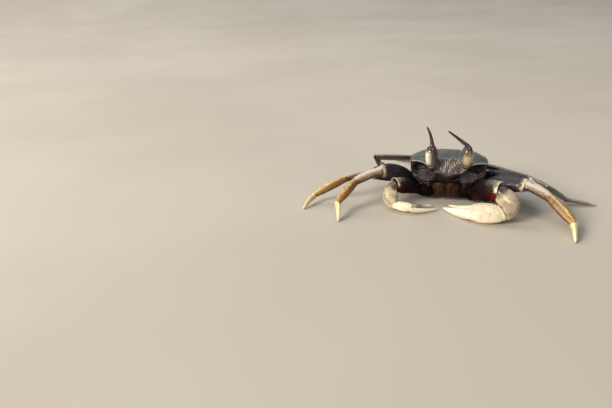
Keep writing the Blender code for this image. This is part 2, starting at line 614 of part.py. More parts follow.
def make_palm(name, c, wrist, palm_end, far_tip, near_way, at_wrist):
    """The hand with its fixed finger, which grows from the far half of the palm's end."""
    height, thick = c["palm"]
    rings = limb_rings(wrist, palm_end, near_way, scaled(PALM_HEIGHT, height), scaled(PALM_THICK, thick),
                       cuts=(at_wrist, None), sides=12, stations=(0.0, 0.12, 0.3, 0.5, 0.7, 0.88, 1.0),
                       floor=True, spur=ELBOW_SPUR)
    far_height, far_thick = c["far"]
    palm_way = (palm_end - wrist).normalized()
    root = palm_end - near_way * (height * PALM_END / 2 - 0.15 - far_height / 2)
    far_depth = ((0.0, far_height), (0.5, far_height * 0.74), (1.0, 0.9))
    far_width = ((0.0, far_thick), (0.5, far_thick * 0.72), (1.0, 0.8))
    far_rings = limb_rings(root, far_tip, near_way, far_depth, far_width, bow=-0.5,
                           stations=(0.0, 0.12, 0.35, 0.6, 0.85, 1.0), sides=12, floor=True)
    for point in far_rings[0]:
        point += palm_way * ((palm_end - point).dot(palm_way))
    new_object("claw_%s_palm" % name, *skin_rings(rings + far_rings), "claw")


def make_finger(name, c, palm_end, near_tip, near_way, palm_way):
    """The movable finger, on the near half of the palm's end."""
    height = c["palm"][0]
    near_height, near_thick = c["near"]
    root = palm_end + near_way * (height * PALM_END / 2 + 0.25 - near_height / 2) + palm_way * GAP
    depth = ((0.0, near_height), (0.5, near_height * 0.74), (1.0, 1.0))
    width = ((0.0, near_thick), (0.5, near_thick * 0.74), (1.0, 0.9))
    rings = limb_rings(root, near_tip, near_way, depth, width, bow=0.6, sides=10, floor=True)
    for point in rings[0]:
        point += palm_way * ((palm_end - point).dot(palm_way) + GAP)
    new_object("claw_%s_finger" % name, *skin_rings(rings), "claw")


# ---------------------------------------------------------------- the whole

def centre_on_floor():
    """Put the middle of the whole crab's box over the origin, with its lowest point on the floor."""
    corners = [vertex.co for piece in bpy.data.objects for vertex in piece.data.vertices]
    low = [min(c[axis] for c in corners) for axis in range(3)]
    high = [max(c[axis] for c in corners) for axis in range(3)]
    shift = Vector((-(low[0] + high[0]) / 2, -(low[1] + high[1]) / 2, -low[2]))
    for piece in bpy.data.objects:
        piece.location = shift


def main():
    for piece in list(bpy.data.objects):
        bpy.data.objects.remove(piece, do_unlink=True)
    make_carapace()
    make_underbody()
    make_abdomen()
    for name, side in (("right", RIGHT), ("left", LEFT)):
        make_mouthpart("mouthpart_" + name, side)
        make_antenna("antenna_" + name, side)
        make_eye(name, EYES[name])
        make_horn(name, EYES[name])
    for name, leg in LEGS.items():
        make_leg(name, *leg)
    for name, claw in CLAWS.items():
        make_claw(name, claw)
    centre_on_floor()


main()
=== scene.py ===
"""Horned ghost crab, life size: the finished shells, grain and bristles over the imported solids.

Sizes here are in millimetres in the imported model's own frame and become metres when a mesh is made.
The crab faces -Y, up is +Z and its left side is +X.
"""

import math

import bmesh
import bpy
import numpy as np
from mathutils import Matrix, Vector


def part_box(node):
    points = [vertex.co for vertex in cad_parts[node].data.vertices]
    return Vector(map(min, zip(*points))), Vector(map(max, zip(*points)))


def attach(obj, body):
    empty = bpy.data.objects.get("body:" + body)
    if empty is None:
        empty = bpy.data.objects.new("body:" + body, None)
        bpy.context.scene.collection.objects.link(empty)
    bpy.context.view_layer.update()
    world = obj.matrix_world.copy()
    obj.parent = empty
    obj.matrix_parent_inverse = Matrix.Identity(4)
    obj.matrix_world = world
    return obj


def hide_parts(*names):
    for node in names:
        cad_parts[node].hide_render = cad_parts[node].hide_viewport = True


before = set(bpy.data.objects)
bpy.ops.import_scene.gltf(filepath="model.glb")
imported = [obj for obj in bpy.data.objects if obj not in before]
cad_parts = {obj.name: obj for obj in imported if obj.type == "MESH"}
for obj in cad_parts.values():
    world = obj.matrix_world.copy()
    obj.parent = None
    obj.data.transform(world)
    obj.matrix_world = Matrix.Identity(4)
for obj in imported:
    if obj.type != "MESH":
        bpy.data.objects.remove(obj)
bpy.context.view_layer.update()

MM = 0.001
BODY = "root"
SIDES = {"right": -1, "left": 1}
BAKE_MAP = "OFBake"
BAKE_PATCH = 0.001  # half the width of a grain's or bristle's patch on its unwrap
RIPPLE_WAVES = 7


# ---------------- small tools

def unit(v):
    return v / np.linalg.norm(v, axis=-1, keepdims=True)


def smooth(t):
    t = np.clip(t, 0.0, 1.0)
    return t * t * (3.0 - 2.0 * t)


def ease(x, start, run):
    """0 up to start, then smoothly up to 1 over run."""
    return smooth((x - start) / run)


def hump(x, middle, half_width):
    """A soft bump of height 1 round middle."""
    return np.exp(-((x - middle) / half_width) ** 2)


def through(knots, t):
    """A smooth value, or row of values, through (station, value) knots, for an array of stations."""
    xs = np.array([k[0] for k in knots], float)
    ys = np.array([k[1] for k in knots], float)
    t = np.clip(np.asarray(t, float), xs[0], xs[-1])
    number = np.arange(len(xs))
    after, before = np.minimum(number + 1, len(xs) - 1), np.maximum(number - 1, 0)
    run = (xs[after] - xs[before]).reshape((-1,) + (1,) * (ys.ndim - 1))
    slope = (ys[after] - ys[before]) / run
    k = np.clip(np.searchsorted(xs, t, side="right") - 1, 0, len(xs) - 2)
    span = xs[k + 1] - xs[k]
    u = (t - xs[k]) / span
    u, span = (v.reshape(v.shape + (1,) * (ys.ndim - 1)) for v in (u, span))
    h = u * u * (3.0 - 2.0 * u)
    lean = slope[k] * u * (1 - u) ** 2 - slope[k + 1] * u * u * (1 - u)
    return ys[k] + (ys[k + 1] - ys[k]) * h + span * lean


def between(t, low, high, soft):
    """1 from low to high, fading to 0 outside over soft."""
    return smooth((t - low) / soft) * smooth((high - t) / soft)


def squared(wave, power):
    """A sine or cosine filled out (power under 1) or drawn in, for a section's outline."""
    return np.sign(wave) * np.abs(wave) ** power


def section_angles(sides):
    return (np.arange(sides) + 0.5) / sides * 2 * math.pi


def ripple(points, size, seed=0):
    """Gentle lumps about size mm across, from about -1 to 1, made of a few crossed waves."""
    rng = np.random.default_rng(seed)
    total = np.zeros(points.shape[:-1])
    for _ in range(RIPPLE_WAVES):
        way = unit(rng.normal(size=3)) * (2 * math.pi / size) * rng.uniform(0.6, 1.5)
        total += np.sin(points @ way + rng.uniform(0, 2 * math.pi))
    return total / (RIPPLE_WAVES / 2)


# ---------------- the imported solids, measured

FULLER = 1.04  # a smooth section of the same size as a faceted one
LIMB_STATIONS = (0.17, 0.3, 0.45, 0.6, 0.75, 0.86)  # where along a limb's solid its section is measured
LINE_STEP = 0.01  # share of a limb's length over which the way of its centre line is taken


def corners(node):
    """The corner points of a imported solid, each once."""
    points = np.array([v.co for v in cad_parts[node].data.vertices], float) / MM
    return np.unique(np.round(points, 4), axis=0)


def nearest(points, place, count):
    return points[np.argsort(np.linalg.norm(points - place, axis=1))[:count]]


def box_corners(node):
    """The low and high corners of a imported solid's box."""
    return (np.array(corner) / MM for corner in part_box(node))


def edge_lines(node):
    """The two ends of every triangle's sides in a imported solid."""
    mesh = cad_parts[node].data
    mesh.calc_loop_triangles()
    points = np.array([v.co for v in mesh.vertices], float) / MM
    triangles = np.array([t.vertices[:] for t in mesh.loop_triangles])
    return np.concatenate([points[triangles[:, pair]] for pair in ((0, 1), (1, 2), (2, 0))])


def cap(node, other, count):
    """The corners of a solid's end that faces another solid."""
    mine, theirs = corners(node), corners(other)
    gap = np.linalg.norm(mine[:, None] - theirs[None], axis=2).min(1)
    return mine[np.argsort(gap)[:count]]


def far_cap(node, start, count):
    """The corners of a solid that are farthest from its start."""
    points = corners(node)
    return points[np.argsort(-np.linalg.norm(points - start, axis=1))[:count]]


def cross_section(edges, point, way, reach):
    """Where the edges of a solid cross a plane, near the point."""
    ahead = (edges - point) @ way
    crossing = edges[(ahead[:, 0] * ahead[:, 1]) < 0]
    ahead = (crossing - point) @ way
    share = ahead[:, 0] / (ahead[:, 0] - ahead[:, 1])
    hits = crossing[:, 0] + (crossing[:, 1] - crossing[:, 0]) * share[:, None]
    return hits[np.linalg.norm(hits - point, axis=1) < reach]


def measure(node, start_cap, end_cap, curved=False, hint=None, stations=LIMB_STATIONS, reach=12.0):
    """The centre line, broad and thin ways, and half sizes of a limb's solid, from slices of it."""
    start, end = start_cap.mean(0), end_cap.mean(0)
    middle = (start + end) / 2
    if curved:
        middle = 2 * corners(node).mean(0) - middle
    edges = edge_lines(node)
    places, cuts = [], []
    for t in stations:
        point = start * (1 - t) ** 2 + middle * (2 * t * (1 - t)) + end * t * t
        way = unit((middle - start) * (1 - t) + (end - middle) * t)
        places.append((t, point, way))
        cuts.append(cross_section(edges, point, way, reach))
    if hint is None:
        spread = cuts[len(cuts) // 2]
        spread = spread - (spread.max(0) + spread.min(0)) / 2
        hint = np.linalg.eigh(spread.T @ spread)[1][:, -1]
        hint = hint * (1 if hint[2] > 0 else -1)
    centre, broad, half_broad, half_thin = [], [], [], []
    places = [(0.0, start, unit(middle - start))] + places + [(1.0, end, unit(end - middle))]
    cuts = [start_cap] + cuts + [end_cap]
    for (t, point, way), cut in zip(places, cuts):
        up = unit(hint - way * (hint @ way))
        side = np.cross(way, up)
        a, b = (cut - point) @ up, (cut - point) @ side
        shift_a, shift_b = (a.max() + a.min()) / 2, (b.max() + b.min()) / 2
        centre.append((t, point + up * shift_a + side * shift_b))
        broad.append((t, up))
        half_broad.append((t, (a.max() - a.min()) / 2 * FULLER))
        half_thin.append((t, (b.max() - b.min()) / 2 * FULLER))
    length = np.linalg.norm(end - middle) + np.linalg.norm(middle - start)
    return dict(node=node, centre=centre, broad=broad, half_broad=half_broad, half_thin=half_thin,
                length=length, start=start, end=end, first_way=unit(middle - start),
                last_way=unit(end - middle))


def placed(form, t):
    """Centres, ways and half sizes of a measured limb at the stations t, which may run past its ends."""
    inside = np.clip(t, 0.0, 1.0)
    centre = through(form["centre"], inside)
    ahead = through(form["centre"], np.minimum(inside + LINE_STEP, 1))
    behind = through(form["centre"], np.maximum(inside - LINE_STEP, 0))
    way = unit(ahead - behind)
    centre = centre + way * ((t - inside) * form["length"])[:, None]
    broad = through(form["broad"], inside)
    broad = unit(broad - way * np.sum(broad * way, -1, keepdims=True))
    thin = np.cross(way, broad)
    return centre, way, broad, thin, through(form["half_broad"], inside), through(form["half_thin"], inside)


# ---------------- shapes and pieces

LUMP_CAP = 0.06  # how far, in radians, an egg's first and last rings stand from its poles


def tube(grid, **tags):
    """A closed skin over grid[row, place]; both ends are closed. tags keep a value for each point."""
    rows, sides = grid.shape[:2]
    index = np.arange(rows * sides).reshape(rows, sides)
    a, b = index[:-1], index[1:]
    quads = np.stack([a, np.roll(a, -1, 1), np.roll(b, -1, 1), b], -1).reshape(-1, 4)
    points = np.concatenate([grid.reshape(-1, 3), grid[0].mean(0)[None], grid[-1].mean(0)[None]])
    fans = []
    for ring, hub in ((index[0], rows * sides), (index[-1], rows * sides + 1)):
        fans.append(np.stack([ring, np.roll(ring, -1), np.full(sides, hub)], -1))
    kept = {}
    for name, values in tags.items():
        values = np.array(np.broadcast_to(values, grid.shape[:2] + np.shape(values)[2:]), float)
        flat = values.reshape((rows * sides,) + values.shape[2:])
        kept[name] = np.concatenate([flat, values[0].mean(0)[None], values[-1].mean(0)[None]])
    return dict(points=points, quads=quads, fans=np.concatenate(fans), tags=kept)


def lump(centre, radii, ways, detail=(9, 12)):
    """A closed egg with the given half sizes along three ways."""
    rise = np.linspace(LUMP_CAP, math.pi - LUMP_CAP, detail[0])[:, None]
    turn = np.linspace(0, 2 * math.pi, detail[1], endpoint=False)[None]
    wide, tall = np.sin(rise), np.cos(rise) + 0 * turn
    local = np.stack([wide * np.cos(turn), wide * np.sin(turn), tall], -1)
    return tube(centre + (local * np.asarray(radii)) @ np.asarray(ways))


def joined(shapes):
    """One shape out of several."""
    names = set().union(*(s["tags"] for s in shapes))
    first, points, quads, fans = 0, [], [], []
    tags = {n: [] for n in names}
    for s in shapes:
        points.append(s["points"])
        quads.append(s["quads"] + first)
        fans.append(s["fans"] + first)
        for n in names:
            size = len(s["points"])
            model = next(o["tags"][n] for o in shapes if n in o["tags"])
            tags[n].append(s["tags"].get(n, np.zeros((size,) + model.shape[1:])))
        first += len(s["points"])
    return dict(points=np.concatenate(points), quads=np.concatenate(quads), fans=np.concatenate(fans),
                tags={n: np.concatenate(v) for n, v in tags.items()})


def rounded_ends(grid, t, reach, least):
    """The grid with its rings drawn in over the share reach of its length at both ends."""
    ends = np.sin(np.clip(np.minimum(t, 1 - t) / reach, least, 1) * math.pi / 2)[:, None, None]
    middle = grid.mean(1, keepdims=True)
    return middle + (grid - middle) * ends


def mesh_of(name, shape):
    """A smooth mesh of a shape, its faces turned outwards and its tags kept as attributes."""
    mesh = bpy.data.meshes.new(name)
    faces = shape["quads"].tolist() + shape["fans"].tolist()
    mesh.from_pydata((shape["points"] * MM).tolist(), [], faces)
    bm = bmesh.new()
    bm.from_mesh(mesh)
    bmesh.ops.recalc_face_normals(bm, faces=bm.faces)
    bm.to_mesh(mesh)
    bm.free()
    for tag, values in shape["tags"].items():
        kind, field = ("FLOAT_VECTOR", "vector") if values.ndim == 2 else ("FLOAT", "value")
        attribute = mesh.attributes.new(tag, kind, "POINT")
        attribute.data.foreach_set(field, values.astype(np.float32).ravel())
    mesh.polygons.foreach_set("use_smooth", np.ones(len(mesh.polygons), bool))
    return mesh


def show(name, data):
    """A new object of the scene that holds the data."""
    thing = bpy.data.objects.new(name, data)
    bpy.context.scene.collection.objects.link(thing)
    return thing


def plain(carrier):
    """The mesh that an object's modifiers make; the object itself goes."""
    mesh = bpy.data.meshes.new_from_object(carrier.evaluated_get(bpy.context.evaluated_depsgraph_get()))
    bpy.data.objects.remove(carrier, do_unlink=True)
    return mesh


def settle(piece, nodes=()):
    """A finished piece rides on the body and stands for its solids."""
    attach(piece, BODY)
    if nodes:
        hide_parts(*nodes)
    return piece


def make(name, shape, material, nodes=()):
    piece = show(name, mesh_of(name, shape))
    piece.data.materials.append(material)
    return settle(piece, nodes)


# ---------------- materials

# colours are display colours, red, green and blue from 0 to 255


def tone(red, green, blue):
    """A display colour, 0 to 255, as the linear colour that a shader wants."""
    linear = []
    for value in (red, green, blue):
        share = value / 255.0
        linear.append(share / 12.92 if share <= 0.04045 else ((share + 0.055) / 1.055) ** 2.4)
    return (*linear, 1.0)


class Finish:
    """A Principled material and short ways to add nodes to it."""

    def __init__(self, name, roughness=0.5, **constants):
        self.material = bpy.data.materials.new(name)
        self.material.use_nodes = True
        self.nodes = self.material.node_tree.nodes
        self.links = self.material.node_tree.links
        self.shader = self.nodes["Principled BSDF"]
        self.shader.inputs["Roughness"].default_value = roughness
        for socket, value in constants.items():
            self.shader.inputs[socket.replace("_", " ")].default_value = value
        self.place = self.nodes.new("ShaderNodeTexCoord").outputs["Object"]

    def feed(self, socket, value):
        """Set a socket from another node's output, a number or a display colour."""
        if isinstance(value, bpy.types.NodeSocket):
            self.links.new(value, socket)
        else:
            socket.default_value = tone(*value) if isinstance(value, tuple) else value

    def tag(self, name):
        node = self.nodes.new("ShaderNodeAttribute")
        node.attribute_name = name
        return node.outputs["Fac"]

    def math(self, operation, a, b=0.0):
        node = self.nodes.new("ShaderNodeMath")
        node.operation = operation
        for socket, value in zip(node.inputs, (a, b)):
            self.feed(socket, value)
        return node.outputs[0]

    def plus(self, a, b):
        return self.math("ADD", a, b)

    def minus(self, a, b):
        return self.math("SUBTRACT", a, b)

    def times(self, a, b):
        return self.math("MULTIPLY", a, b)

    def vector(self, x=0.0, y=0.0, z=0.0):
        node = self.nodes.new("ShaderNodeCombineXYZ")
        for socket, value in zip(node.inputs, (x, y, z)):
            self.feed(socket, value)
        return node.outputs[0]

    def noise(self, size, detail=4.0, rough=0.6, where=None, bend=0.0):
        """Cloudy values about size mm across."""
        node = self.nodes.new("ShaderNodeTexNoise")
        self.feed(node.inputs["Vector"], where or self.place)
        node.inputs["Scale"].default_value = 1.0 / (size * MM) if where is None else 1.0 / size
        node.inputs["Detail"].default_value = detail
        node.inputs["Roughness"].default_value = rough
        node.inputs["Distortion"].default_value = bend
        return node.outputs["Fac"]

    def cells(self, size, where=None, uneven=1.0):
        """Distance from the middles of cells about size mm across."""
        node = self.nodes.new("ShaderNodeTexVoronoi")
        self.feed(node.inputs["Vector"], where or self.place)
        node.inputs["Scale"].default_value = 1.0 / (size * MM) if where is None else 1.0 / size
        node.inputs["Randomness"].default_value = uneven
        return node.outputs["Distance"]

    def drift(self, value, size, amount):
        """value, moved up and down by amount in all, in clouds about size mm across."""
        return self.plus(value, self.times(self.minus(self.noise(size), 0.5), amount))

    def span(self, value, low, high, to_low=0.0, to_high=1.0):
        """value from low..high turned smoothly into to_low..to_high."""
        node = self.nodes.new("ShaderNodeMapRange")
        node.interpolation_type = "SMOOTHSTEP"
        for socket, number in zip(node.inputs, (value, low, high, to_low, to_high)):
            self.feed(socket, number)
        return node.outputs[0]

    def clouds(self, size, low, high, to_low=0.0, to_high=1.0):
        return self.span(self.noise(size), low, high, to_low, to_high)

    def ramp(self, value, stops):
        """A colour along value, through (place, colour) stops."""
        node = self.nodes.new("ShaderNodeValToRGB")
        self.feed(node.inputs[0], value)
        points = node.color_ramp.elements
        while len(points) < len(stops):
            points.new(0.5)
        for point, (position, colour) in zip(points, stops):
            point.position = position
            point.color = tone(*colour)
        return node.outputs[0]

    def mix(self, share, a, b):
        node = self.nodes.new("ShaderNodeMix")
        node.data_type = "RGBA"
        self.feed(node.inputs[0], share)
        self.feed(node.inputs[6], a)
        self.feed(node.inputs[7], b)
        return node.outputs[2]

    def colour(self, value):
        self.feed(self.shader.inputs["Base Color"], value)

    def rough(self, value):
        self.feed(self.shader.inputs["Roughness"], value)

    def cloudy_rough(self, size, low, high):
        """Roughness from low to high in clouds about size mm across."""
        self.rough(self.clouds(size, 0.3, 0.7, low, high))

    def bumps(self, *layers):
        """Each layer is a height and its depth in mm, from the coarsest to the finest."""
        normal = None
        for height, depth in layers:
            node = self.nodes.new("ShaderNodeBump")
            node.inputs["Distance"].default_value = depth * MM
            node.inputs["Strength"].default_value = 1.0
            self.feed(node.inputs["Height"], height)
            if normal is not None:
                self.links.new(normal, node.inputs["Normal"])
            normal = node.outputs[0]
        self.links.new(normal, self.shader.inputs["Normal"])


# the back's slate tones carry a blue cast that is a painted sky reflection
SLATE, SLATE_DARK, OLIVE = (92, 96, 96), (44, 48, 54), (88, 90, 82)
MAROON, DEEP_MAROON, RED = (36, 15, 14), (16, 8, 9), (150, 46, 24)
NIGHT, SAND, HORN_LIGHT = (30, 30, 38), (206, 178, 132), (150, 116, 84)


def carapace_finish():
    """Slate back with a painted blue sky sheen, browner front, black flanks, and a maroon and brown face
    partly in painted shade.
    """
    f = Finish("carapace_shell", 0.34, Coat_Weight=0.4, Coat_Roughness=0.2, Specular_IOR_Level=0.4)
    cloud = f.noise(7.0, 5.0, 0.62, bend=0.4)
    fine = f.noise(0.8, 4.0, 0.7)
    back = f.mix(f.span(cloud, 0.35, 0.68), SLATE, SLATE_DARK)
    back = f.mix(f.times(f.tag("middle"), 0.55), back, OLIVE)
    back = f.mix(f.times(f.span(fine, 0.5, 0.75), 0.35), back, (118, 120, 116))
    front = f.mix(f.span(f.noise(1.1, 5.0, 0.7), 0.4, 0.62), (44, 34, 32), (100, 88, 80))
    # pale ridge tops on the front: painted wet highlights
    front = f.mix(f.tag("crest"), front, (218, 204, 188))
    front = f.mix(f.times(f.tag("low_brow"), 0.6), front, (40, 30, 29))
    shell = f.mix(f.times(f.tag("fore"), 0.85), back, front)
    # the face's maroons and browns are kept dark partly as painted shade
    cheek = f.mix(f.span(f.noise(3.0, 5.0, 0.6), 0.4, 0.65), DEEP_MAROON, MAROON)
    cheek = f.mix(f.times(f.span(f.noise(1.4, 3.0, 0.6), 0.6, 0.75), 0.25), cheek, RED)
    cheek = f.mix(f.span(f.noise(4.0, 3.0), 0.42, 0.6), cheek, (28, 22, 26))
    flank = f.mix(f.span(cloud, 0.4, 0.6), (22, 21, 26), (40, 34, 38))
    lower = f.mix(f.tag("face"), flank, cheek)
    body = f.mix(f.tag("dorsal"), lower, shell)
    # near-black orbits and mouth frame: painted shade in these hollows over dark brown
    body = f.mix(f.tag("orbit"), body, f.mix(f.span(fine, 0.4, 0.7), (16, 10, 9), (44, 31, 23)))
    lobe = f.mix(f.clouds(2.2, 0.35, 0.7), (40, 35, 39), (84, 76, 80))
    body = f.mix(f.tag("lobe"), body, lobe)
    body = f.mix(f.tag("frame"), body, f.mix(f.span(fine, 0.4, 0.6), (20, 11, 9), (38, 23, 16)))
    f.colour(body)
    f.feed(f.shader.inputs["Coat Weight"], f.span(f.tag("dorsal"), 0.0, 1.0, 0.08, 0.42))
    uneven = f.clouds(1.6, 0.3, 0.75, 0.22, 0.48)
    f.rough(f.plus(uneven, f.span(f.tag("dorsal"), 0.0, 1.0, 0.14, 0.0)))
    pits = f.cells(0.55)
    f.bumps((cloud, 0.5), (pits, 0.10), (fine, 0.08))
    return f.material


def margin_finish():
    f = Finish("margin_bead", 0.34, Coat_Weight=0.5, Coat_Roughness=0.2)
    base = f.mix(f.clouds(1.2, 0.38, 0.66), (176, 164, 158), (120, 106, 104))
    f.colour(f.mix(f.tag("pale"), (52, 46, 44), base))
    f.cloudy_rough(0.6, 0.25, 0.5)
    f.bumps((f.noise(0.5), 0.12))
    return f.material


def limb_finish(name, stops, low, high, streak, freckle, roughness, coat, grain=0.5, banding=0.0,
                inner=MAROON, shade_span=(-0.9, 0.5), highlight_span=(0.35, 0.95), gloss=0.4, red_glint=None):
    """A limb's shell: colours along it, painted shade below and a painted highlight above, streaks,
    freckles and fine grain.

    stops run along the piece; low (painted shade), high (painted highlight), streak and freckle are each
    (colour, share).
    """
    f = Finish(name, roughness, Coat_Weight=coat, Coat_Roughness=0.18, Specular_IOR_Level=gloss)
    along, rise, turn = f.tag("along"), f.tag("rise"), f.tag("turn")
    wander = f.drift(along, 1.8, 0.22)
    base = f.ramp(wander, stops)
    uneven = f.drift(rise, 1.5, 0.7)
    # the upper side is lightened as a painted highlight, the lower side darkened as painted shade
    above = f.span(uneven, *highlight_span)
    base = f.mix(f.times(above, high[1]), base, high[0])
    under = f.span(uneven, *shade_span, 1.0, 0.0)
    base = f.mix(f.times(under, low[1]), base, low[0])
    lines = f.vector(f.times(along, 2.0), f.times(turn, 22.0), 0.0)
    lining = f.span(f.noise(1.0, 3.0, 0.6, where=lines), 0.52, 0.72)
    base = f.mix(f.times(lining, streak[1]), base, streak[0])
    spots = f.span(f.cells(0.75), 0.16, 0.34, 1.0, 0.0)
    patch = f.times(spots, f.clouds(2.6, 0.42, 0.6))
    base = f.mix(f.times(patch, freckle[1]), base, freckle[0])
    if banding:
        rows = f.vector(f.times(along, 19.0), f.times(turn, 12.0), 0.0)
        scale = f.cells(1.0, where=rows, uneven=0.7)
        edge = f.times(f.span(scale, 0.34, 0.7), f.minus(1.0, f.times(above, 0.8)))
        base = f.mix(f.times(edge, banding), base, (138, 92, 46))
    # a painted red glint on the lower side near the end, and a painted pale sheen on the upper side near
    # the end
    if red_glint:
        glint_share = f.times(f.span(uneven, -0.35, 0.3, 1.0, 0.0), f.span(wander, 0.76, 0.98))
        base = f.mix(glint_share, base, red_glint)
        top_sheen = f.times(f.span(uneven, 0.62, 1.1), f.span(wander, 0.6, 0.92))
        base = f.mix(f.times(top_sheen, 0.6), base, (166, 158, 144))
    inside = f.span(along, 1.02, 1.12)
    base = f.mix(inside, base, inner)
    f.colour(base)
    f.rough(f.span(f.noise(0.9, 4.0, 0.65), 0.3, 0.72, roughness * 0.72, min(roughness * 1.35, 0.9)))
    f.bumps((f.noise(2.4, 3.0), 0.25), (f.cells(grain), 0.10), (lining, 0.05), (f.noise(0.35), 0.05))
    return f.material


def grain_finish(name, light, dark, roughness):
    f = Finish(name, roughness, Coat_Weight=0.3, Coat_Roughness=0.25)
    f.colour(f.mix(f.span(f.noise(1.5, 3.0), 0.35, 0.65), light, dark))
    f.cloudy_rough(0.7, roughness * 0.8, roughness * 1.3)
    f.bumps((f.noise(0.25), 0.03))
    return f.material


def cornea_finish(name, bright, low_end, top_end):
    """Glossy cream that fades into brown at its edges, partly painted shade, with a soft yellow-brown
    streak down it.
    """
    f = Finish(name, 0.14, Coat_Weight=1.0, Coat_Roughness=0.04, Specular_IOR_Level=0.7,
               Subsurface_Weight=0.15, Subsurface_Scale=0.002)
    along, turn = f.tag("along"), f.tag("turn")
    height = f.drift(along, 1.6, 0.2)
    base = f.ramp(height, (
        (0.0, (58, 46, 38)), (low_end, (150, 136, 116)), (low_end + 0.16, bright), (top_end - 0.14, bright),
        (top_end, (132, 102, 76)), (1.0, (54, 38, 32))))
    lane = f.math("ABSOLUTE", f.minus(turn, 0.49))
    streak = f.times(f.span(lane, 0.0, 0.05, 1.0, 0.0), f.clouds(1.6, 0.35, 0.6))
    base = f.mix(f.times(streak, 0.5), base, (178, 140, 74))
    # the brown at the sides blends into the stalk and is partly painted shade
    edge = f.drift(f.math("ABSOLUTE", f.minus(turn, 0.5)), 1.8, 0.08)
    base = f.mix(f.span(edge, 0.1, 0.27), base, (64, 52, 44))
    f.colour(base)
    f.cloudy_rough(0.8, 0.1, 0.2)
    f.bumps((f.cells(0.16), 0.006), (f.noise(1.5), 0.05))
    return f.material


def stalk_finish():
    f = Finish("eyestalk", 0.38, Coat_Weight=0.5, Coat_Roughness=0.2)
    along = f.tag("along")
    base = f.ramp(f.plus(along, f.times(f.noise(1.2), 0.2)), (
        (0.0, (50, 40, 36)), (0.3, (82, 72, 64)), (0.65, (70, 58, 50)), (0.95, (62, 44, 38)),
        (1.0, (60, 42, 36))))
    base = f.mix(f.times(f.span(f.noise(0.9, 5.0, 0.7), 0.5, 0.66), 0.6), base, (44, 32, 30))
    f.colour(base)
    f.cloudy_rough(0.8, 0.26, 0.5)
    f.bumps((f.noise(1.4), 0.2), (f.cells(0.4), 0.06))
    return f.material


def horn_finish():
    """Dark brown horn, lighter and banded near its root."""
    f = Finish("horn", 0.4, Coat_Weight=0.35, Coat_Roughness=0.25)
    along, turn = f.tag("along"), f.tag("turn")
    base = f.ramp(f.plus(along, f.times(f.noise(1.0), 0.15)), (
        (0.0, (66, 46, 40)), (0.3, (56, 38, 33)), (0.6, (42, 29, 26)), (1.0, (32, 22, 21))))
    fibres = f.noise(1.0, 4.0, 0.6, where=f.vector(f.times(along, 5.0), f.times(turn, 14.0)))
    light = f.times(f.span(fibres, 0.5, 0.68), f.span(along, 0.1, 0.75, 0.75, 0.15))
    f.colour(f.mix(light, base, HORN_LIGHT))
    f.rough(f.span(fibres, 0.3, 0.7, 0.3, 0.55))
    f.bumps((fibres, 0.10), (f.noise(0.3), 0.03))
    return f.material


def mouth_finish():
    """Reddish brown plates with vertical stripes and a pale inner edge."""
    f = Finish("mouth_plate", 0.46, Coat_Weight=0.06, Coat_Roughness=0.25, Specular_IOR_Level=0.18)
    across, along = f.tag("across"), f.tag("along")
    stripes = f.noise(1.0, 3.0, 0.6, where=f.vector(f.times(across, 9.0), f.times(along, 0.9)))
    base = f.mix(f.span(stripes, 0.38, 0.62), (20, 8, 5), (70, 36, 15))
    base = f.mix(f.times(f.span(across, 0.5, 1.0), 0.75), base, (16, 8, 7))
    base = f.mix(f.times(f.clouds(1.2, 0.6, 0.7), 0.25), base, (84, 70, 62))
    f.colour(base)
    f.cloudy_rough(0.8, 0.34, 0.6)
    f.bumps((stripes, 0.16), (f.cells(0.5), 0.05))
    return f.material


def underbody_finish():
    """Cream plates below, maroon and red skin towards the front and round the roots of the claws."""
    f = Finish("underbody_shell", 0.42, Coat_Weight=0.45, Coat_Roughness=0.22)
    front, depth = f.tag("fore"), f.tag("low")
    plates = f.mix(f.clouds(3.0, 0.36, 0.66), (206, 192, 168), (160, 138, 116))
    skin = f.mix(f.span(f.noise(1.5, 5.0, 0.65), 0.42, 0.6), DEEP_MAROON, (150, 48, 26))
    sides = f.mix(f.clouds(2.2, 0.4, 0.6), NIGHT, (88, 62, 62))
    base = f.mix(depth, sides, plates)
    base = f.mix(front, base, skin)
    f.colour(base)
    f.cloudy_rough(0.9, 0.3, 0.55)
    f.bumps((f.noise(2.5), 0.3), (f.cells(0.6), 0.07), (f.noise(0.4), 0.04))
    return f.material


def root_finish():
    """Near-black maroon skin and shell where the limbs meet the body, darkened as painted shade, with a few
    painted red glints.
    """
    f = Finish("limb_root_shade", 0.6, Specular_IOR_Level=0.06, Coat_Weight=0.0)
    base = f.mix(f.clouds(2.0, 0.4, 0.62), (8, 3, 3), (16, 6, 5))
    # the red patches are painted red glints
    f.colour(f.mix(f.times(f.clouds(1.6, 0.6, 0.74), 0.4), base, (90, 28, 15)))
    f.cloudy_rough(0.8, 0.45, 0.8)
    f.bumps((f.noise(1.4), 0.4), (f.cells(0.5), 0.08))
    return f.material


def joint_finish():
    """Wet red-brown skin in the joints."""
    f = Finish("joint_skin", 0.3, Coat_Weight=0.6, Coat_Roughness=0.15, Subsurface_Weight=0.1,
               Subsurface_Scale=0.001)
    f.colour(f.mix(f.clouds(0.8, 0.4, 0.64), (70, 26, 20), (170, 82, 38)))
    f.cloudy_rough(0.6, 0.2, 0.42)
    f.bumps((f.noise(0.7), 0.25))
    return f.material


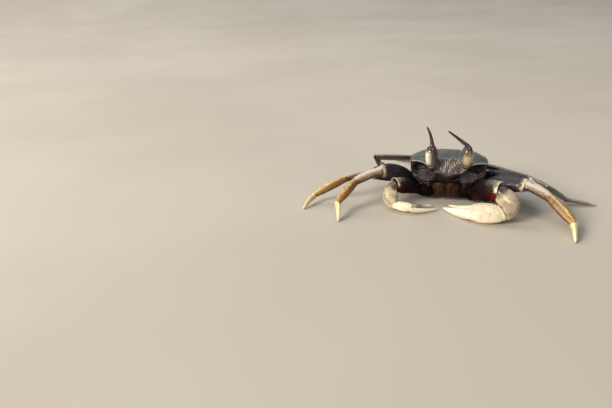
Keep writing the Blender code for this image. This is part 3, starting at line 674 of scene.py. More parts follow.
def claw_finish(name, light, shade, grey, roughness=0.4, above=-2.0, below=0.0, marks=0.0, far=None):
    """Ivory shell, greyer towards its root where it faces higher than above, with fine worm-like marks;
    below paints light on its lower side, far paints shade over the fixed finger.
    """
    f = Finish(name, roughness, Coat_Weight=0.4, Coat_Roughness=0.22, Subsurface_Weight=0.06,
               Subsurface_Scale=0.0015)
    along, rise = f.tag("along"), f.tag("rise")
    base = f.mix(f.clouds(4.0, 0.36, 0.66), light, shade)
    root = f.span(f.plus(along, f.times(f.noise(1.6), 0.25)), 0.28, 0.5, 1.0, 0.0)
    root = f.times(root, f.span(rise, above, above + 0.4))
    base = f.mix(f.times(root, grey[1]), base, grey[0])
    worm = f.math("ABSOLUTE", f.minus(f.noise(1.9, 1.0, 0.5, bend=1.2), 0.5))
    marked = f.span(f.tag("grain"), 0.05, 0.3)
    mark = f.times(f.span(worm, 0.01, 0.075, 1.0, 0.0), marked)
    mark = f.times(mark, f.clouds(3.0, 0.36, 0.56))
    base = f.mix(f.times(mark, marks), base, (158, 134, 100))
    # far darkens the fixed finger as painted shade
    if far:
        shaded_finger = f.times(f.span(along, 0.58, 0.64), f.span(along, 0.72, 0.9, 1.0, 0.0))
        base = f.mix(f.times(shaded_finger, far[1]), base, far[0])
    # below lightens the lower side as painted light
    under = f.times(f.span(rise, -0.35, 0.1, 1.0, 0.0), below)
    base = f.mix(under, base, (236, 222, 192))
    stain = f.span(f.noise(2.6, 5.0, 0.62), 0.56, 0.74)
    base = f.mix(f.times(stain, 0.3), base, SAND)
    base = f.mix(f.span(along, 1.02, 1.12), base, MAROON)
    f.colour(base)
    f.cloudy_rough(1.0, roughness * 0.75, roughness * 1.35)
    f.bumps((f.noise(3.0), 0.2), (mark, -0.15 * marks), (f.noise(0.4), 0.05))
    return f.material


MERUS_FRONT_STOPS = ((0.0, (14, 13, 17)), (0.5, (20, 18, 24)), (0.86, (32, 26, 32)),
                     (0.925, (84, 72, 66)), (0.95, (226, 208, 172)), (1.0, (236, 222, 190)))
MERUS_BACK_STOPS = ((0.0, (70, 54, 44)), (0.5, (82, 62, 50)), (0.86, (66, 52, 42)),
                    (0.95, (48, 42, 34)), (1.0, (54, 48, 40)))
CARPUS_STOPS = ((0.0, (96, 70, 56)), (0.1, (148, 126, 108)), (0.5, (146, 126, 108)),
                (0.85, (140, 112, 84)), (1.0, (108, 74, 44)))
PROPODUS_STOPS = ((0.0, (80, 54, 30)), (0.16, (112, 80, 38)), (0.5, (156, 116, 46)),
                  (0.85, (188, 144, 60)), (1.0, (176, 132, 58)))
DACTYL_STOPS = ((0.0, (196, 150, 84)), (0.1, (228, 200, 132)), (0.6, (244, 226, 168)),
                (1.0, (240, 228, 190)))
CARPUS_BACK_STOPS = ((0.0, (84, 72, 66)), (0.5, (132, 114, 102)), (1.0, (104, 96, 86)))
PROPODUS_BACK_STOPS = ((0.0, (88, 86, 78)), (0.5, (122, 120, 106)), (1.0, (136, 132, 116)))
DACTYL_BACK_STOPS = ((0.0, (112, 108, 96)), (0.7, (150, 144, 130)), (0.9, (224, 218, 202)),
                     (1.0, (232, 226, 212)))
# the claw arm's near-black is its own dark maroon deepened as painted shade from the body above; its rim is
# cream
CLAW_ARM_SHADED_STOPS = ((0.0, (9, 5, 6)), (0.4, (13, 7, 9)), (0.72, (24, 15, 16)), (0.9, (52, 42, 38)),
                  (0.95, (176, 160, 138)), (1.0, (244, 234, 214)))


# each limb piece's shell: its colours along it; (colour, share) as painted shade below, a painted highlight
# above, in streaks and as freckles
LIMB_FINISHES = {
    # the front meri's pale blue-grey streaks and freckles are painted glints on their dark shell
    "merus_front": dict(
        stops=MERUS_FRONT_STOPS, low=((30, 13, 14), 0.6), high=((44, 44, 50), 0.25),
        streak=((84, 84, 94), 0.3), freckle=((84, 82, 86), 0.15), roughness=0.34, coat=0.22, grain=0.45),
    "merus_back": dict(
        stops=MERUS_BACK_STOPS, low=((28, 20, 18), 1.0), high=((164, 148, 128), 0.7),
        streak=((110, 92, 74), 0.4), freckle=((50, 40, 34), 0.4), roughness=0.34, coat=0.4,
        shade_span=(-0.5, 0.2), highlight_span=(0.45, 0.85)),
    "carpus": dict(
        stops=CARPUS_STOPS, low=((64, 42, 32), 1.0), high=((232, 220, 204), 0.7),
        streak=((206, 190, 172), 0.45), freckle=((70, 48, 42), 0.9), roughness=0.44, coat=0.2,
        shade_span=(-0.5, 0.35), highlight_span=(0.45, 0.95)),
    "propodus": dict(
        stops=PROPODUS_STOPS, low=((78, 48, 20), 1.0), high=((234, 212, 160), 0.75),
        streak=((92, 58, 22), 0.65), freckle=((214, 168, 84), 0.5), roughness=0.42, coat=0.2, banding=0.7,
        shade_span=(-0.6, 0.45), highlight_span=(0.64, 0.96)),
    "dactyl": dict(
        stops=DACTYL_STOPS, low=((206, 164, 92), 0.5), high=((250, 240, 206), 0.6),
        streak=((206, 164, 96), 0.35), freckle=((250, 240, 206), 0.3), roughness=0.34, coat=0.45),
    "carpus_back": dict(
        stops=CARPUS_BACK_STOPS, low=((44, 34, 32), 0.8), high=((186, 168, 150), 0.6),
        streak=((150, 132, 118), 0.4), freckle=((40, 32, 30), 0.8), roughness=0.4, coat=0.4),
    "propodus_back": dict(
        stops=PROPODUS_BACK_STOPS, low=((62, 58, 52), 0.7), high=((182, 178, 162), 0.6),
        streak=((158, 156, 138), 0.4), freckle=((62, 58, 50), 0.5), roughness=0.36, coat=0.5),
    "dactyl_back": dict(
        stops=DACTYL_BACK_STOPS, low=((88, 82, 72), 0.6), high=((190, 184, 168), 0.5),
        streak=((92, 88, 76), 0.4), freckle=((214, 210, 196), 0.3), roughness=0.38, coat=0.45),
    # claw arm: its low colour is painted shade over the lower half and rim; its red streaks and the red
    # patch near the rim are painted red glints
    "claw_arm": dict(
        stops=CLAW_ARM_SHADED_STOPS, low=((30, 5, 3), 1.0), high=((36, 36, 32), 0.3), streak=((62, 10, 5), 0.25),
        freckle=((74, 15, 7), 0.2), roughness=0.5, coat=0.02, inner=(58, 26, 18), shade_span=(-0.2, 0.35),
        gloss=0.1, red_glint=(96, 18, 9)),
}
CLAW_FINISHES = {
    "palm": dict(light=(244, 233, 205), shade=(228, 211, 176), grey=((206, 192, 166), 0.3), marks=0.42),
    "palm_minor": dict(
        light=(250, 240, 214), shade=(238, 222, 188), grey=((214, 202, 176), 0.3), marks=0.12,
        # the darker fixed finger is painted shade
        far=((112, 96, 98), 0.85)),
    "finger": dict(light=(250, 244, 226), shade=(240, 228, 200), grey=((214, 198, 172), 0.35)),
    # the wrists' below shares paint light onto their lower sides
    "wrist": dict(
        light=(200, 184, 154), shade=(150, 132, 106), grey=((48, 34, 40), 1.0), above=0.05, below=0.9),
    "wrist_minor": dict(
        light=(214, 200, 170), shade=(160, 144, 118), grey=((84, 66, 56), 0.85), above=-0.2, below=0.6),
}
CORNEA_FINISHES = {
    "cornea_right": dict(bright=(244, 232, 210), low_end=0.16, top_end=0.93),
    # the left cornea's duller cream is painted shade; both corneas are the same cream
    "cornea_left": dict(bright=(178, 164, 138), low_end=0.18, top_end=0.7),
}
# grains, bristles and teeth: light and dark colour, and roughness
GRAIN_FINISHES = {
    "ivory_grain": ((240, 230, 206), (206, 192, 162), 0.4),
    "wrist_grain": ((216, 202, 172), (156, 138, 112), 0.55),
    "palm_grain": ((252, 244, 220), (238, 224, 190), 0.4),
    "pale_grain": ((232, 222, 210), (170, 146, 130), 0.4),
    "slate_grain": ((128, 120, 114), (62, 56, 56), 0.28),
    "dark_grain": ((84, 76, 76), (36, 26, 28), 0.3),
    "bristle": ((158, 110, 56), (78, 50, 30), 0.5),
    "dark_bristle": ((58, 40, 32), (36, 24, 22), 0.5),
    "claw_tooth": ((250, 246, 236), (232, 222, 204), 0.3),
}


def make_finishes():
    """Every finish, by name."""
    made = {"carapace": carapace_finish(), "margin": margin_finish(), "stalk": stalk_finish(),
            "horn": horn_finish(), "mouth": mouth_finish(), "underbody": underbody_finish(),
            "root": root_finish(), "joint": joint_finish()}
    for name, look in CORNEA_FINISHES.items():
        made[name] = cornea_finish(name, **look)
    for name, look in LIMB_FINISHES.items():
        made[name] = limb_finish(name + "_shell", **look)
    for name, look in CLAW_FINISHES.items():
        made[name] = claw_finish(name + "_shell", **look)
    for name, look in GRAIN_FINISHES.items():
        made[name] = grain_finish(name, *look)
    return made


# ---------------- limbs

# how each kind of limb piece is finished: rows and places round it, fullness of its section, how far it
# tucks into the piece before it and how its round start, rim and cup are made (mm), flutes, sharp edges
PIECE = dict(flutes=0, flute=0.0, crest=0.0, cup=0.0, flare=0.0, tip=False)
LIMB_KINDS = {
    "merus": dict(
        PIECE, rows=66, sides=60, power=1.8, tuck=0.8, nose=1.7, rim=0.3, lip=0.07, cup=0.9, flare=0.045,
        crest=0.05),
    "carpus": dict(
        PIECE, rows=46, sides=54, power=2.0, tuck=0.9, nose=0.8, rim=0.25, lip=0.08, cup=0.7, flare=0.03,
        flutes=5, flute=0.035, crest=0.03),
    "propodus": dict(
        PIECE, rows=64, sides=64, power=2.1, tuck=0.8, nose=0.7, rim=0.25, lip=0.09, cup=0.6, flare=0.02,
        flutes=8, flute=0.04, crest=0.02),
    "dactyl": dict(
        PIECE, rows=60, sides=48, power=2.0, tuck=0.8, nose=0.7, rim=0.3, lip=0.2, flutes=6, flute=0.085,
        tip=True),
    "claw_merus": dict(
        PIECE, rows=60, sides=72, power=2.3, tuck=1.2, nose=2.2, rim=0.5, lip=0.09, cup=1.3, flare=0.04,
        crest=0.04, spur=3.2),
    "wrist": dict(
        PIECE, rows=64, sides=80, power=2.25, tuck=1.2, nose=1.3, rim=0.45, lip=0.07, cup=0.9, flare=0.02,
        crest=0.02, evened=70),
    "finger": dict(
        PIECE, rows=64, sides=48, power=2.1, tuck=0.9, nose=1.1, rim=0.3, lip=0.2, flutes=5, flute=0.035,
        tip=True),
}
MITRE_REACH = 0.3  # share of a piece's length over which its end leans to the joint's plane
MITRE_SPUR = 1.6
NOSE_START = 0.3
TIP_TAPER = 0.08
TIP_ROUND = 0.9  # length of the round end of a dactyl or finger
CLAW_COXA = dict(shift=(-3.0, 0.6, -0.3), radii=(6.0, 4.4, 4.0))

LEG_NAMES = tuple("leg_%d_%s" % (number, side) for number in (2, 3, 4, 5) for side in SIDES)
LEG_PIECES = ("merus", "carpus", "propodus", "dactyl")
LEG_CORNERS, ROOT_CORNERS = 8, 10  # how many corners a leg's solid, and a leg's root, end in
SHORT_PIECE = 14.0
SHORT_STATIONS, LONG_STATIONS = (0.3, 0.42, 0.56, 0.7), (0.17, 0.3, 0.45, 0.6, 0.75, 0.85)
DACTYL_FULLER, MERUS_FULLER = 1.24, 0.1
MERUS_RISE = {"leg_2_right": 1.2}  # how far a merus arches up in its middle


def facing(points, way):
    """The way that a flat end faces, on the side of way."""
    spread = points - points.mean(0)
    normal = np.linalg.eigh(spread.T @ spread)[1][:, 0]
    return normal * (1 if normal @ way > 0 else -1)


def round_start(tuck, nose):
    """Stations and sizes of a piece's rounded start, tucked into the piece before it."""
    bend = np.linspace(0.12, math.pi / 2, 9)
    return nose * (1 - np.cos(bend)) - tuck, NOSE_START + (1 - NOSE_START) * np.sin(bend)


def profile(kind, length):
    """Stations along a piece, its size there, and the values that its colours follow."""
    tuck, nose, rim = kind["tuck"] / length, kind["nose"] / length, kind["rim"] / length
    t, r = ([row] for row in round_start(tuck, nose))
    along = [np.clip(t[0], 0, 1)]
    if kind["tip"]:
        end = 1 - TIP_ROUND / length
        body = np.linspace(t[0][-1], end, kind["rows"])[1:]
        bend = np.linspace(0, math.pi / 2 - 0.1, 7)[1:]
        t += [body, end + TIP_ROUND / length * np.sin(bend)]
        thinner = 1 - TIP_TAPER * ease(body, 0.7, 0.3) ** 2
        r += [thinner, thinner[-1] * np.cos(bend)]
        along += [np.clip(body, 0, 1), np.ones_like(bend)]
        return np.concatenate(t), np.concatenate(r), np.concatenate(along)
    body = np.linspace(t[0][-1], 1 - rim, kind["rows"])[1:]
    flare = kind["flare"]
    flared = 1 + flare * ease(body, 0.9, 0.07) - 0.6 * flare * hump(body, 0.885, 0.025)
    bend = np.linspace(0, math.pi, 9)[1:]
    edge_r = flared[-1] - kind["lip"] * (1 - np.cos(bend)) / 2
    bowl = np.linspace(0, math.pi / 2, 7)[1:]
    bowl_r = edge_r[-1] * np.cos(bowl * 0.8)
    t += [body, 1 - rim + rim * np.sin(bend), 1 - rim - kind["cup"] / length * np.sin(bowl)]
    r += [flared, edge_r, bowl_r]
    along += [np.clip(body, 0, 1), np.ones_like(bend), 1.02 + 0.2 * bowl]
    return np.concatenate(t), np.concatenate(r), np.concatenate(along)


def ring_points(form, kind, t, r, start_normal=None, end_normal=None):
    """Rings of a limb's skin at the stations t, r times its size, leaned to its joints' planes."""
    centre, way, broad, thin, half_broad, half_thin = placed(form, t)
    angle = section_angles(kind["sides"])[None]
    c, s = np.cos(angle), np.sin(angle)
    power = 2.0 / kind["power"]
    u = squared(c, power) * (1 + kind["crest"] * np.abs(c) ** 8)
    v = squared(s, power)
    inner = ease(t, 0.06, 0.12) * smooth((0.93 - t) / 0.1 if not kind["tip"] else (1.02 - t) / 0.3)
    fluted = 1 + kind["flute"] * np.cos(kind["flutes"] * angle) * inner[:, None] if kind["flutes"] else 1.0
    u = u * half_broad[:, None] * r[:, None] * fluted
    v = v * half_thin[:, None] * r[:, None] * fluted
    offset = broad[:, None] * u[..., None] + thin[:, None] * v[..., None]
    points = centre[:, None] + offset
    for normal, away, axis in ((start_normal, t, form["first_way"]), (end_normal, 1 - t, form["last_way"])):
        if normal is None:
            continue
        fade = np.clip(1 - away / MITRE_REACH, 0, 1)[:, None]
        spur = kind.get("spur", MITRE_SPUR)
        lean = np.clip(-(offset @ normal) / (normal @ axis), -spur, spur) * fade
        points = points + way[:, None] * lean[..., None]
    return points, offset, way


def limb_tags(kind, offset, way, along):
    """Each point's place along and round a piece, how far up it faces, and how its hairs lie."""
    turn = (section_angles(kind["sides"]) / (2 * math.pi) + 0.5) % 1.0
    rise = offset[..., 2] / np.maximum(np.linalg.norm(offset, axis=-1), 1e-6)
    along, turn = np.broadcast_to(along[:, None], rise.shape), np.broadcast_to(turn[None], rise.shape)
    return dict(along=along, turn=turn, rise=rise, lie=np.broadcast_to(way[:, None], offset.shape))


def fill_socket(form, socket, share=0.9, most=1.6):
    """Start a limb piece nearly as full as the socket that it sits in."""
    up = form["broad"][0][1]
    for key, way in (("half_broad", up), ("half_thin", np.cross(form["first_way"], up))):
        station, size = form[key][0]
        reach = np.ptp(socket @ way) / 2 * FULLER * share
        form[key][0] = (station, max(size, min(reach, size * most)))


def edge_share(kind):
    """1 on a section's two narrow edges, 0 on its faces."""
    return np.abs(np.cos(section_angles(kind["sides"])))[None]


def grain_share(piece, kind, tags):
    """How thickly grains stand on a limb piece, 0 to 1."""
    t, rise, edge = tags["along"], tags["rise"], edge_share(kind)
    if piece == "merus":
        rows = ease(edge, 0.8, 0.16) * 0.9 + 0.05 * ease(rise, 0.1, 0.4)
        return between(t, 0.03, 0.9, 0.06) * rows
    if piece == "carpus":
        rows = 0.3 + 0.6 * ease(edge, 0.7, 0.2)
        return between(t, 0.06, 0.93, 0.08) * rows * ease(rise, -0.5, 0.5)
    if piece == "propodus":
        return between(t, 0.05, 0.95, 0.08) * 0.35 * ease(edge, 0.62, 0.25)
    return 0.0 * t * edge


def hair_share(piece, kind, tags):
    """How thickly bristles stand on a limb piece, 0 to 1."""
    t, rise, edge = tags["along"], tags["rise"], edge_share(kind)
    ridge = smooth((np.cos(kind["flutes"] * section_angles(kind["sides"])) - 0.35) / 0.5)[None]
    if piece == "merus":
        rows = ease(edge, 0.9, 0.08)
        return between(t, 0.1, 0.9, 0.1) * rows * ease(rise, 0.2, 0.3) * 0.5
    if piece == "carpus":
        return between(t, 0.1, 0.95, 0.1) * ridge * 0.45
    if piece == "propodus":
        return between(t, 0.06, 0.97, 0.1) * ridge
    if piece == "dactyl":
        return between(t, 0.03, 0.6, 0.2) * ridge * 0.8
    return 0.0 * t * edge


def unfolded(points, t, rounds):
    """Even out a bent limb's rows, which would fold over one another on the inside of its bend."""
    free = between(t, 0.05, 0.93, 0.06)[:, None, None] * 0.7
    for _ in range(rounds):
        middle = (points[:-2] + points[2:]) / 2
        inner = points[1:-1] + (middle - points[1:-1]) * free[1:-1]
        points = np.concatenate([points[:1], inner, points[-1:]])
    return points


def limb_shape(piece, kind, form, start_normal=None, end_normal=None):
    """A limb piece's whole skin, slightly uneven, with its colours', grains' and bristles' values."""
    t, r, along = profile(kind, form["length"])
    points, offset, way = ring_points(form, kind, t, r, start_normal, end_normal)
    points = unfolded(points, t, kind.get("evened", 0))
    tags = limb_tags(kind, offset, way, along)
    waves = ripple(points, 2.6, seed=len(form["node"]))[..., None] * 0.05
    points = points + unit(offset) * waves * smooth(r - NOSE_START)[:, None, None]
    closed = (tags["along"] <= 1.0) * between(t, -0.5, 1.0 - 0.4 / form["length"], 0.02)[:, None]
    tags["grain"] = grain_share(piece, kind, tags) * closed
    tags["hair"] = hair_share(piece, kind, tags) * closed
    return tube(points, **tags)


def joint_lump(first, second, shrink=0.82, long=1.3):
    """The soft skin between two limb pieces."""
    centre = (first["end"] + second["start"]) / 2
    _, way, broad, thin, half_broad, half_thin = (v[0] for v in placed(second, np.array([0.0])))
    return lump(centre, (half_broad * shrink, half_thin * shrink, long), (broad, thin, way))


def root_lumps(merus, full, long, coxa=None):
    """The short rings of shell between a limb's root and its long first piece."""
    root = cap("underbody", merus["node"], ROOT_CORNERS)
    _, way, broad, _, half_broad, half_thin = (v[0] for v in placed(merus, np.array([0.0])))
    along = unit(facing(root, way) + way)
    side = unit(np.cross(along, broad))
    up = np.cross(side, along)
    centre = (root.mean(0) + merus["start"]) / 2 - along * 0.6
    lumps = [lump(centre, (half_broad * full, half_thin * full, long), (up, side, along), (26, 40))]
    if coxa:
        outward = 1.0 if centre[0] > HOME[0] else -1.0
        place = centre + np.array(coxa["shift"]) * np.array((outward, 1.0, 1.0))
        lumps.append(lump(place, coxa["radii"], np.eye(3), (26, 40)))
    for shape in lumps:
        points = shape["points"]
        out = unit(points - points.mean(0))
        shape["points"] = points + out * ripple(points, 2.2, seed=51)[:, None] * 0.12
        count = len(points)
        shape["tags"] = dict(along=np.full(count, 0.12), turn=np.linspace(0, 1, count), rise=out[:, 2])
    return joined(lumps)


def leg_forms(name):
    """A leg's four pieces, measured and filled out."""
    nodes = [name + "_" + piece for piece in LEG_PIECES]
    starts = [cap(nodes[0], "underbody", LEG_CORNERS)]
    ends = []
    for before, after in zip(nodes, nodes[1:]):
        ends.append(cap(before, after, LEG_CORNERS))
        starts.append(cap(after, before, LEG_CORNERS))
    ends.append(far_cap(nodes[3], starts[3].mean(0), LEG_CORNERS))
    forms = []
    for node, start, end in zip(nodes, starts, ends):
        short = np.linalg.norm(end.mean(0) - start.mean(0)) < SHORT_PIECE
        form = measure(node, start, end, stations=SHORT_STATIONS if short else LONG_STATIONS)
        form["faces"] = (facing(start, form["first_way"]), facing(end, form["last_way"]))
        forms.append(form)
    for key, fuller in (("half_broad", MERUS_FULLER), ("half_thin", MERUS_FULLER / 2)):
        forms[0][key] = [(t, size * (1 + fuller * smooth(t / 0.5))) for t, size in forms[0][key]]
    rise = MERUS_RISE.get(name, 0.0)
    forms[0]["centre"] = [(t, place + np.array((0.0, 0.0, rise * math.sin(math.pi * t))))
                          for t, place in forms[0]["centre"]]
    for form, socket in zip(forms[1:], ends):
        fill_socket(form, socket, 0.96)
    for key in ("half_broad", "half_thin"):
        forms[3][key] = [(t, size * DACTYL_FULLER) for t, size in forms[3][key]]
    return forms


def leg_finish_names(name):
    """The finishes of a leg's pieces: the two last pairs of legs are grey."""
    if name[4] in "45":
        return "merus_back", "carpus_back", "propodus_back", "dactyl_back"
    return "merus_front", "carpus", "propodus", "dactyl"


def make_leg(name, finishes):
    """Four shells, the soft skin of the joints, and the leg's grains and bristles."""
    forms = leg_forms(name)
    shapes = []
    for piece, form, finish in zip(LEG_PIECES, forms, leg_finish_names(name)):
        kind = LIMB_KINDS[piece]
        end_normal = None if kind["tip"] else form["faces"][1]
        shape = limb_shape(piece, kind, form, form["faces"][0], end_normal)
        shapes.append(shape)
        make(name + "_" + piece + "_shell", shape, finishes[finish], (form["node"],))
    skins = [joint_lump(a, b) for a, b in zip(forms, forms[1:])]
    make(name + "_joint_skin", joined(skins), finishes["joint"])
    make(name + "_ischium", root_lumps(forms[0], 1.12, 3.2), finishes["root"])
    front = name[4] in "23"
    seed = LEG_NAMES.index(name) * 10
    base = unwrapped(shapes)
    scatter(name + "_merus_grain", unwrapped(shapes[:1]), "grain", finishes["dark_grain"],
            spacing=0.5, smallest=0.07, largest=0.16, seed=seed + 2)
    pale = finishes["pale_grain" if front else "dark_grain"]
    scatter(name + "_grain", unwrapped(shapes[1:]), "grain", pale,
            spacing=0.45, smallest=0.08, largest=0.22, seed=seed)
    scatter(name + "_bristles", base, "hair", finishes["bristle" if front else "dark_bristle"],
            spacing=0.55, smallest=0.35, largest=0.6 if name[4] == "5" else 0.8, seed=seed + 1)


def unwrapped(shapes):
    """Shapes side by side as one, each in its own strip of the unwrap that its grains are baked by."""
    for number, shape in enumerate(shapes):
        tags = shape["tags"]
        strip = (number + 0.05 + 0.85 * np.clip(tags["along"], 0, 1)) / len(shapes)
        tags["bake_u"], tags["bake_v"] = strip, 0.02 + 0.95 * tags["turn"]
    return joined(shapes)


# ---------------- grains and bristles

THICKEST = 9.0e6  # points per square metre before they are thinned to their spacing
GRAIN_HEIGHT = 0.5  # of a grain's width
BRISTLE_STAND = 0.4  # how far a bristle stands up from the way that it lies
BRISTLE_STRAY = 0.22
BRISTLE_WIDTH = 0.055  # half a bristle's root, of its length
BRISTLE_SIDES = 5
TREES = {}


def add_node(tree, kind, **settings):
    node = tree.nodes.new(kind)
    for name, value in settings.items():
        setattr(node, name, value)
    return node


def named_value(tree, name, vector=False):
    kind = "FLOAT_VECTOR" if vector else "FLOAT"
    node = add_node(tree, "GeometryNodeInputNamedAttribute", data_type=kind)
    node.inputs["Name"].default_value = name
    return node


def wire(tree, *wires):
    """Join nodes, each pair as (from, its output, to, its input)."""
    for source, output, target, place in wires:
        tree.links.new(source.outputs[output], target.inputs[place])


def bristle(tree, spread, place):
    """A thin cone that leans along the way its shell's hairs lie, straying a little."""
    lean = add_node(tree, "ShaderNodeVectorMath", operation="SCALE")
    lean.inputs["Scale"].default_value = BRISTLE_STAND
    stray = add_node(tree, "FunctionNodeRandomValue", data_type="FLOAT_VECTOR")
    stray.inputs[0].default_value = (-BRISTLE_STRAY,) * 3
    stray.inputs[1].default_value = (BRISTLE_STRAY,) * 3
    together = add_node(tree, "ShaderNodeVectorMath", operation="ADD")
    lie = named_value(tree, "lie", vector=True)
    strayed = add_node(tree, "ShaderNodeVectorMath", operation="ADD")
    aim = add_node(tree, "FunctionNodeAlignRotationToVector", axis="Z")
    wire(tree, (spread, "Normal", lean, 0), (lean, 0, together, 0), (lie, "Attribute", together, 1),
         (together, 0, strayed, 0), (stray, 0, strayed, 1), (strayed, 0, aim, "Vector"),
         (aim, 0, place, "Rotation"))
    cone = add_node(tree, "GeometryNodeMeshCone", fill_type="NONE")
    cone.inputs["Vertices"].default_value = BRISTLE_SIDES
    cone.inputs["Radius Bottom"].default_value = BRISTLE_WIDTH
    cone.inputs["Depth"].default_value = 1.0
    return cone


def grain(tree, spread, place):
    """A flattened bead that sits flat on its shell."""
    bead = add_node(tree, "GeometryNodeMeshIcoSphere")
    bead.inputs["Radius"].default_value = 1.0
    bead.inputs["Subdivisions"].default_value = 1
    flat = add_node(tree, "GeometryNodeTransform")
    flat.inputs["Scale"].default_value = (1.0, 1.0, GRAIN_HEIGHT)
    wire(tree, (spread, "Rotation", place, "Rotation"), (bead, "Mesh", flat, "Geometry"))
    return flat


def scatter_tree(name, tag, one):
    """One grain or bristle set out over a shell where its tag allows, realized, in one finish."""
    tree = bpy.data.node_groups.new(name, "GeometryNodeTree")
    for label, flow, kind in (("Geometry", "INPUT", "Geometry"), ("Spacing", "INPUT", "Float"),
                              ("Smallest", "INPUT", "Float"), ("Largest", "INPUT", "Float"),
                              ("Seed", "INPUT", "Int"), ("Finish", "INPUT", "Material"),
                              ("Geometry", "OUTPUT", "Geometry")):
        tree.interface.new_socket(label, in_out=flow, socket_type="NodeSocket" + kind)
    given, result = add_node(tree, "NodeGroupInput"), add_node(tree, "NodeGroupOutput")
    spread = add_node(tree, "GeometryNodeDistributePointsOnFaces", distribute_method="POISSON")
    spread.inputs["Density Max"].default_value = THICKEST
    share = named_value(tree, tag)
    size = add_node(tree, "FunctionNodeRandomValue", data_type="FLOAT")
    place = add_node(tree, "GeometryNodeInstanceOnPoints")
    unit_shape = one(tree, spread, place)
    real = add_node(tree, "GeometryNodeRealizeInstances")
    coat = add_node(tree, "GeometryNodeSetMaterial")
    wire(tree, (given, "Geometry", spread, "Mesh"), (given, "Spacing", spread, "Distance Min"),
         (share, "Attribute", spread, "Density Factor"), (given, "Seed", spread, "Seed"),
         (given, "Smallest", size, 2), (given, "Largest", size, 3), (given, "Seed", size, "Seed"),
         (spread, "Points", place, "Points"), (unit_shape, 0, place, "Instance"), (size, 1, place, "Scale"),
         (place, 0, real, 0), (real, 0, coat, "Geometry"), (given, "Finish", coat, "Material"),
         (coat, 0, result, 0))
    return tree


def scatter(name, base, tag, material, spacing, smallest, largest, seed):
    """Set grains or bristles over the base shape and keep them as one plain mesh."""
    if tag not in TREES:
        TREES[tag] = scatter_tree("shell_" + tag, tag, bristle if tag == "hair" else grain)
    tree = TREES[tag]
    carrier = show(name, mesh_of(name + "_base", base))
    step = carrier.modifiers.new("set_out", "NODES")
    step.node_group = tree
    given = {"Spacing": spacing * MM, "Smallest": smallest * MM, "Largest": largest * MM, "Seed": seed,
             "Finish": material}
    for item in tree.interface.items_tree:
        if item.in_out == "INPUT" and item.name in given:
            step[item.identifier] = given[item.name]
    mesh = plain(carrier)
    if not len(mesh.polygons):
        return None
    lay_bake_map(mesh)
    spent = [str(layer.name) for layer in mesh.attributes if layer.name in base["tags"]]
    for layer_name in spent:
        mesh.attributes.remove(mesh.attributes[layer_name])
    mesh.polygons.foreach_set("use_smooth", np.ones(len(mesh.polygons), bool))
    mesh.name = name
    return settle(show(name, mesh))


def lay_bake_map(mesh):
    """Each grain or tuft gets a small patch at its root's place on the shell's own unwrap."""
    count = len(mesh.vertices)
    places = []
    for name in ("bake_u", "bake_v"):
        values = np.zeros(count, np.float32)
        mesh.attributes[name].data.foreach_get("value", values)
        places.append(values)
    order = np.arange(count)
    corner = np.stack([places[0] + (order % 3) * BAKE_PATCH, places[1] + (order // 3 % 3) * BAKE_PATCH], -1)
    index = np.zeros(len(mesh.loops), np.int32)
    mesh.loops.foreach_get("vertex_index", index)
    layer = mesh.uv_layers.new(name=BAKE_MAP)
    layer.data.foreach_set("uv", np.clip(corner[index], 0.0, 1.0).astype(np.float32).ravel())


# ---------------- claws

CLAW_LOOKS = {
    "major": dict(
        grain=0.22, teeth=13, tooth=0.36, spine=0.5, wrist="wrist", palm="palm", cover=1.0, seed=101,
        side=1.0, arm_tilt=(0.0, 0.55, -0.3)),
    "minor": dict(
        grain=0.17, teeth=11, tooth=0.26, spine=0.3, wrist="wrist_minor", palm="palm_minor", cover=0.3,
        seed=131, side=-1.0, arm_tilt=(0.0, -0.5, -0.15)),
}  # arm_tilt is added to the way that the arm's end faces
HAND = dict(PIECE, sides=88, power=2.3)
HAND_ROWS, SHOULDER_ROWS, FIXED_FINGER_ROWS = 74, 4, 56
CLAW_CORNERS, RING_CORNERS = 10, 12
SLICE_BACK, SLICE_AHEAD, SLICE_REACH = 1.0, 0.6, 16.0
WRIST_STATIONS = (0.2, 0.32, 0.45, 0.58, 0.7, 0.82)
PALM_STATIONS = (0.2, 0.35, 0.5, 0.65, 0.8, 0.9)
FINGER_STATIONS = (0.15, 0.3, 0.5, 0.7, 0.85)
DOWN, AHEAD = np.array((0.0, 0.0, -1.0)), np.array((0.0, -1.0, 0.0))


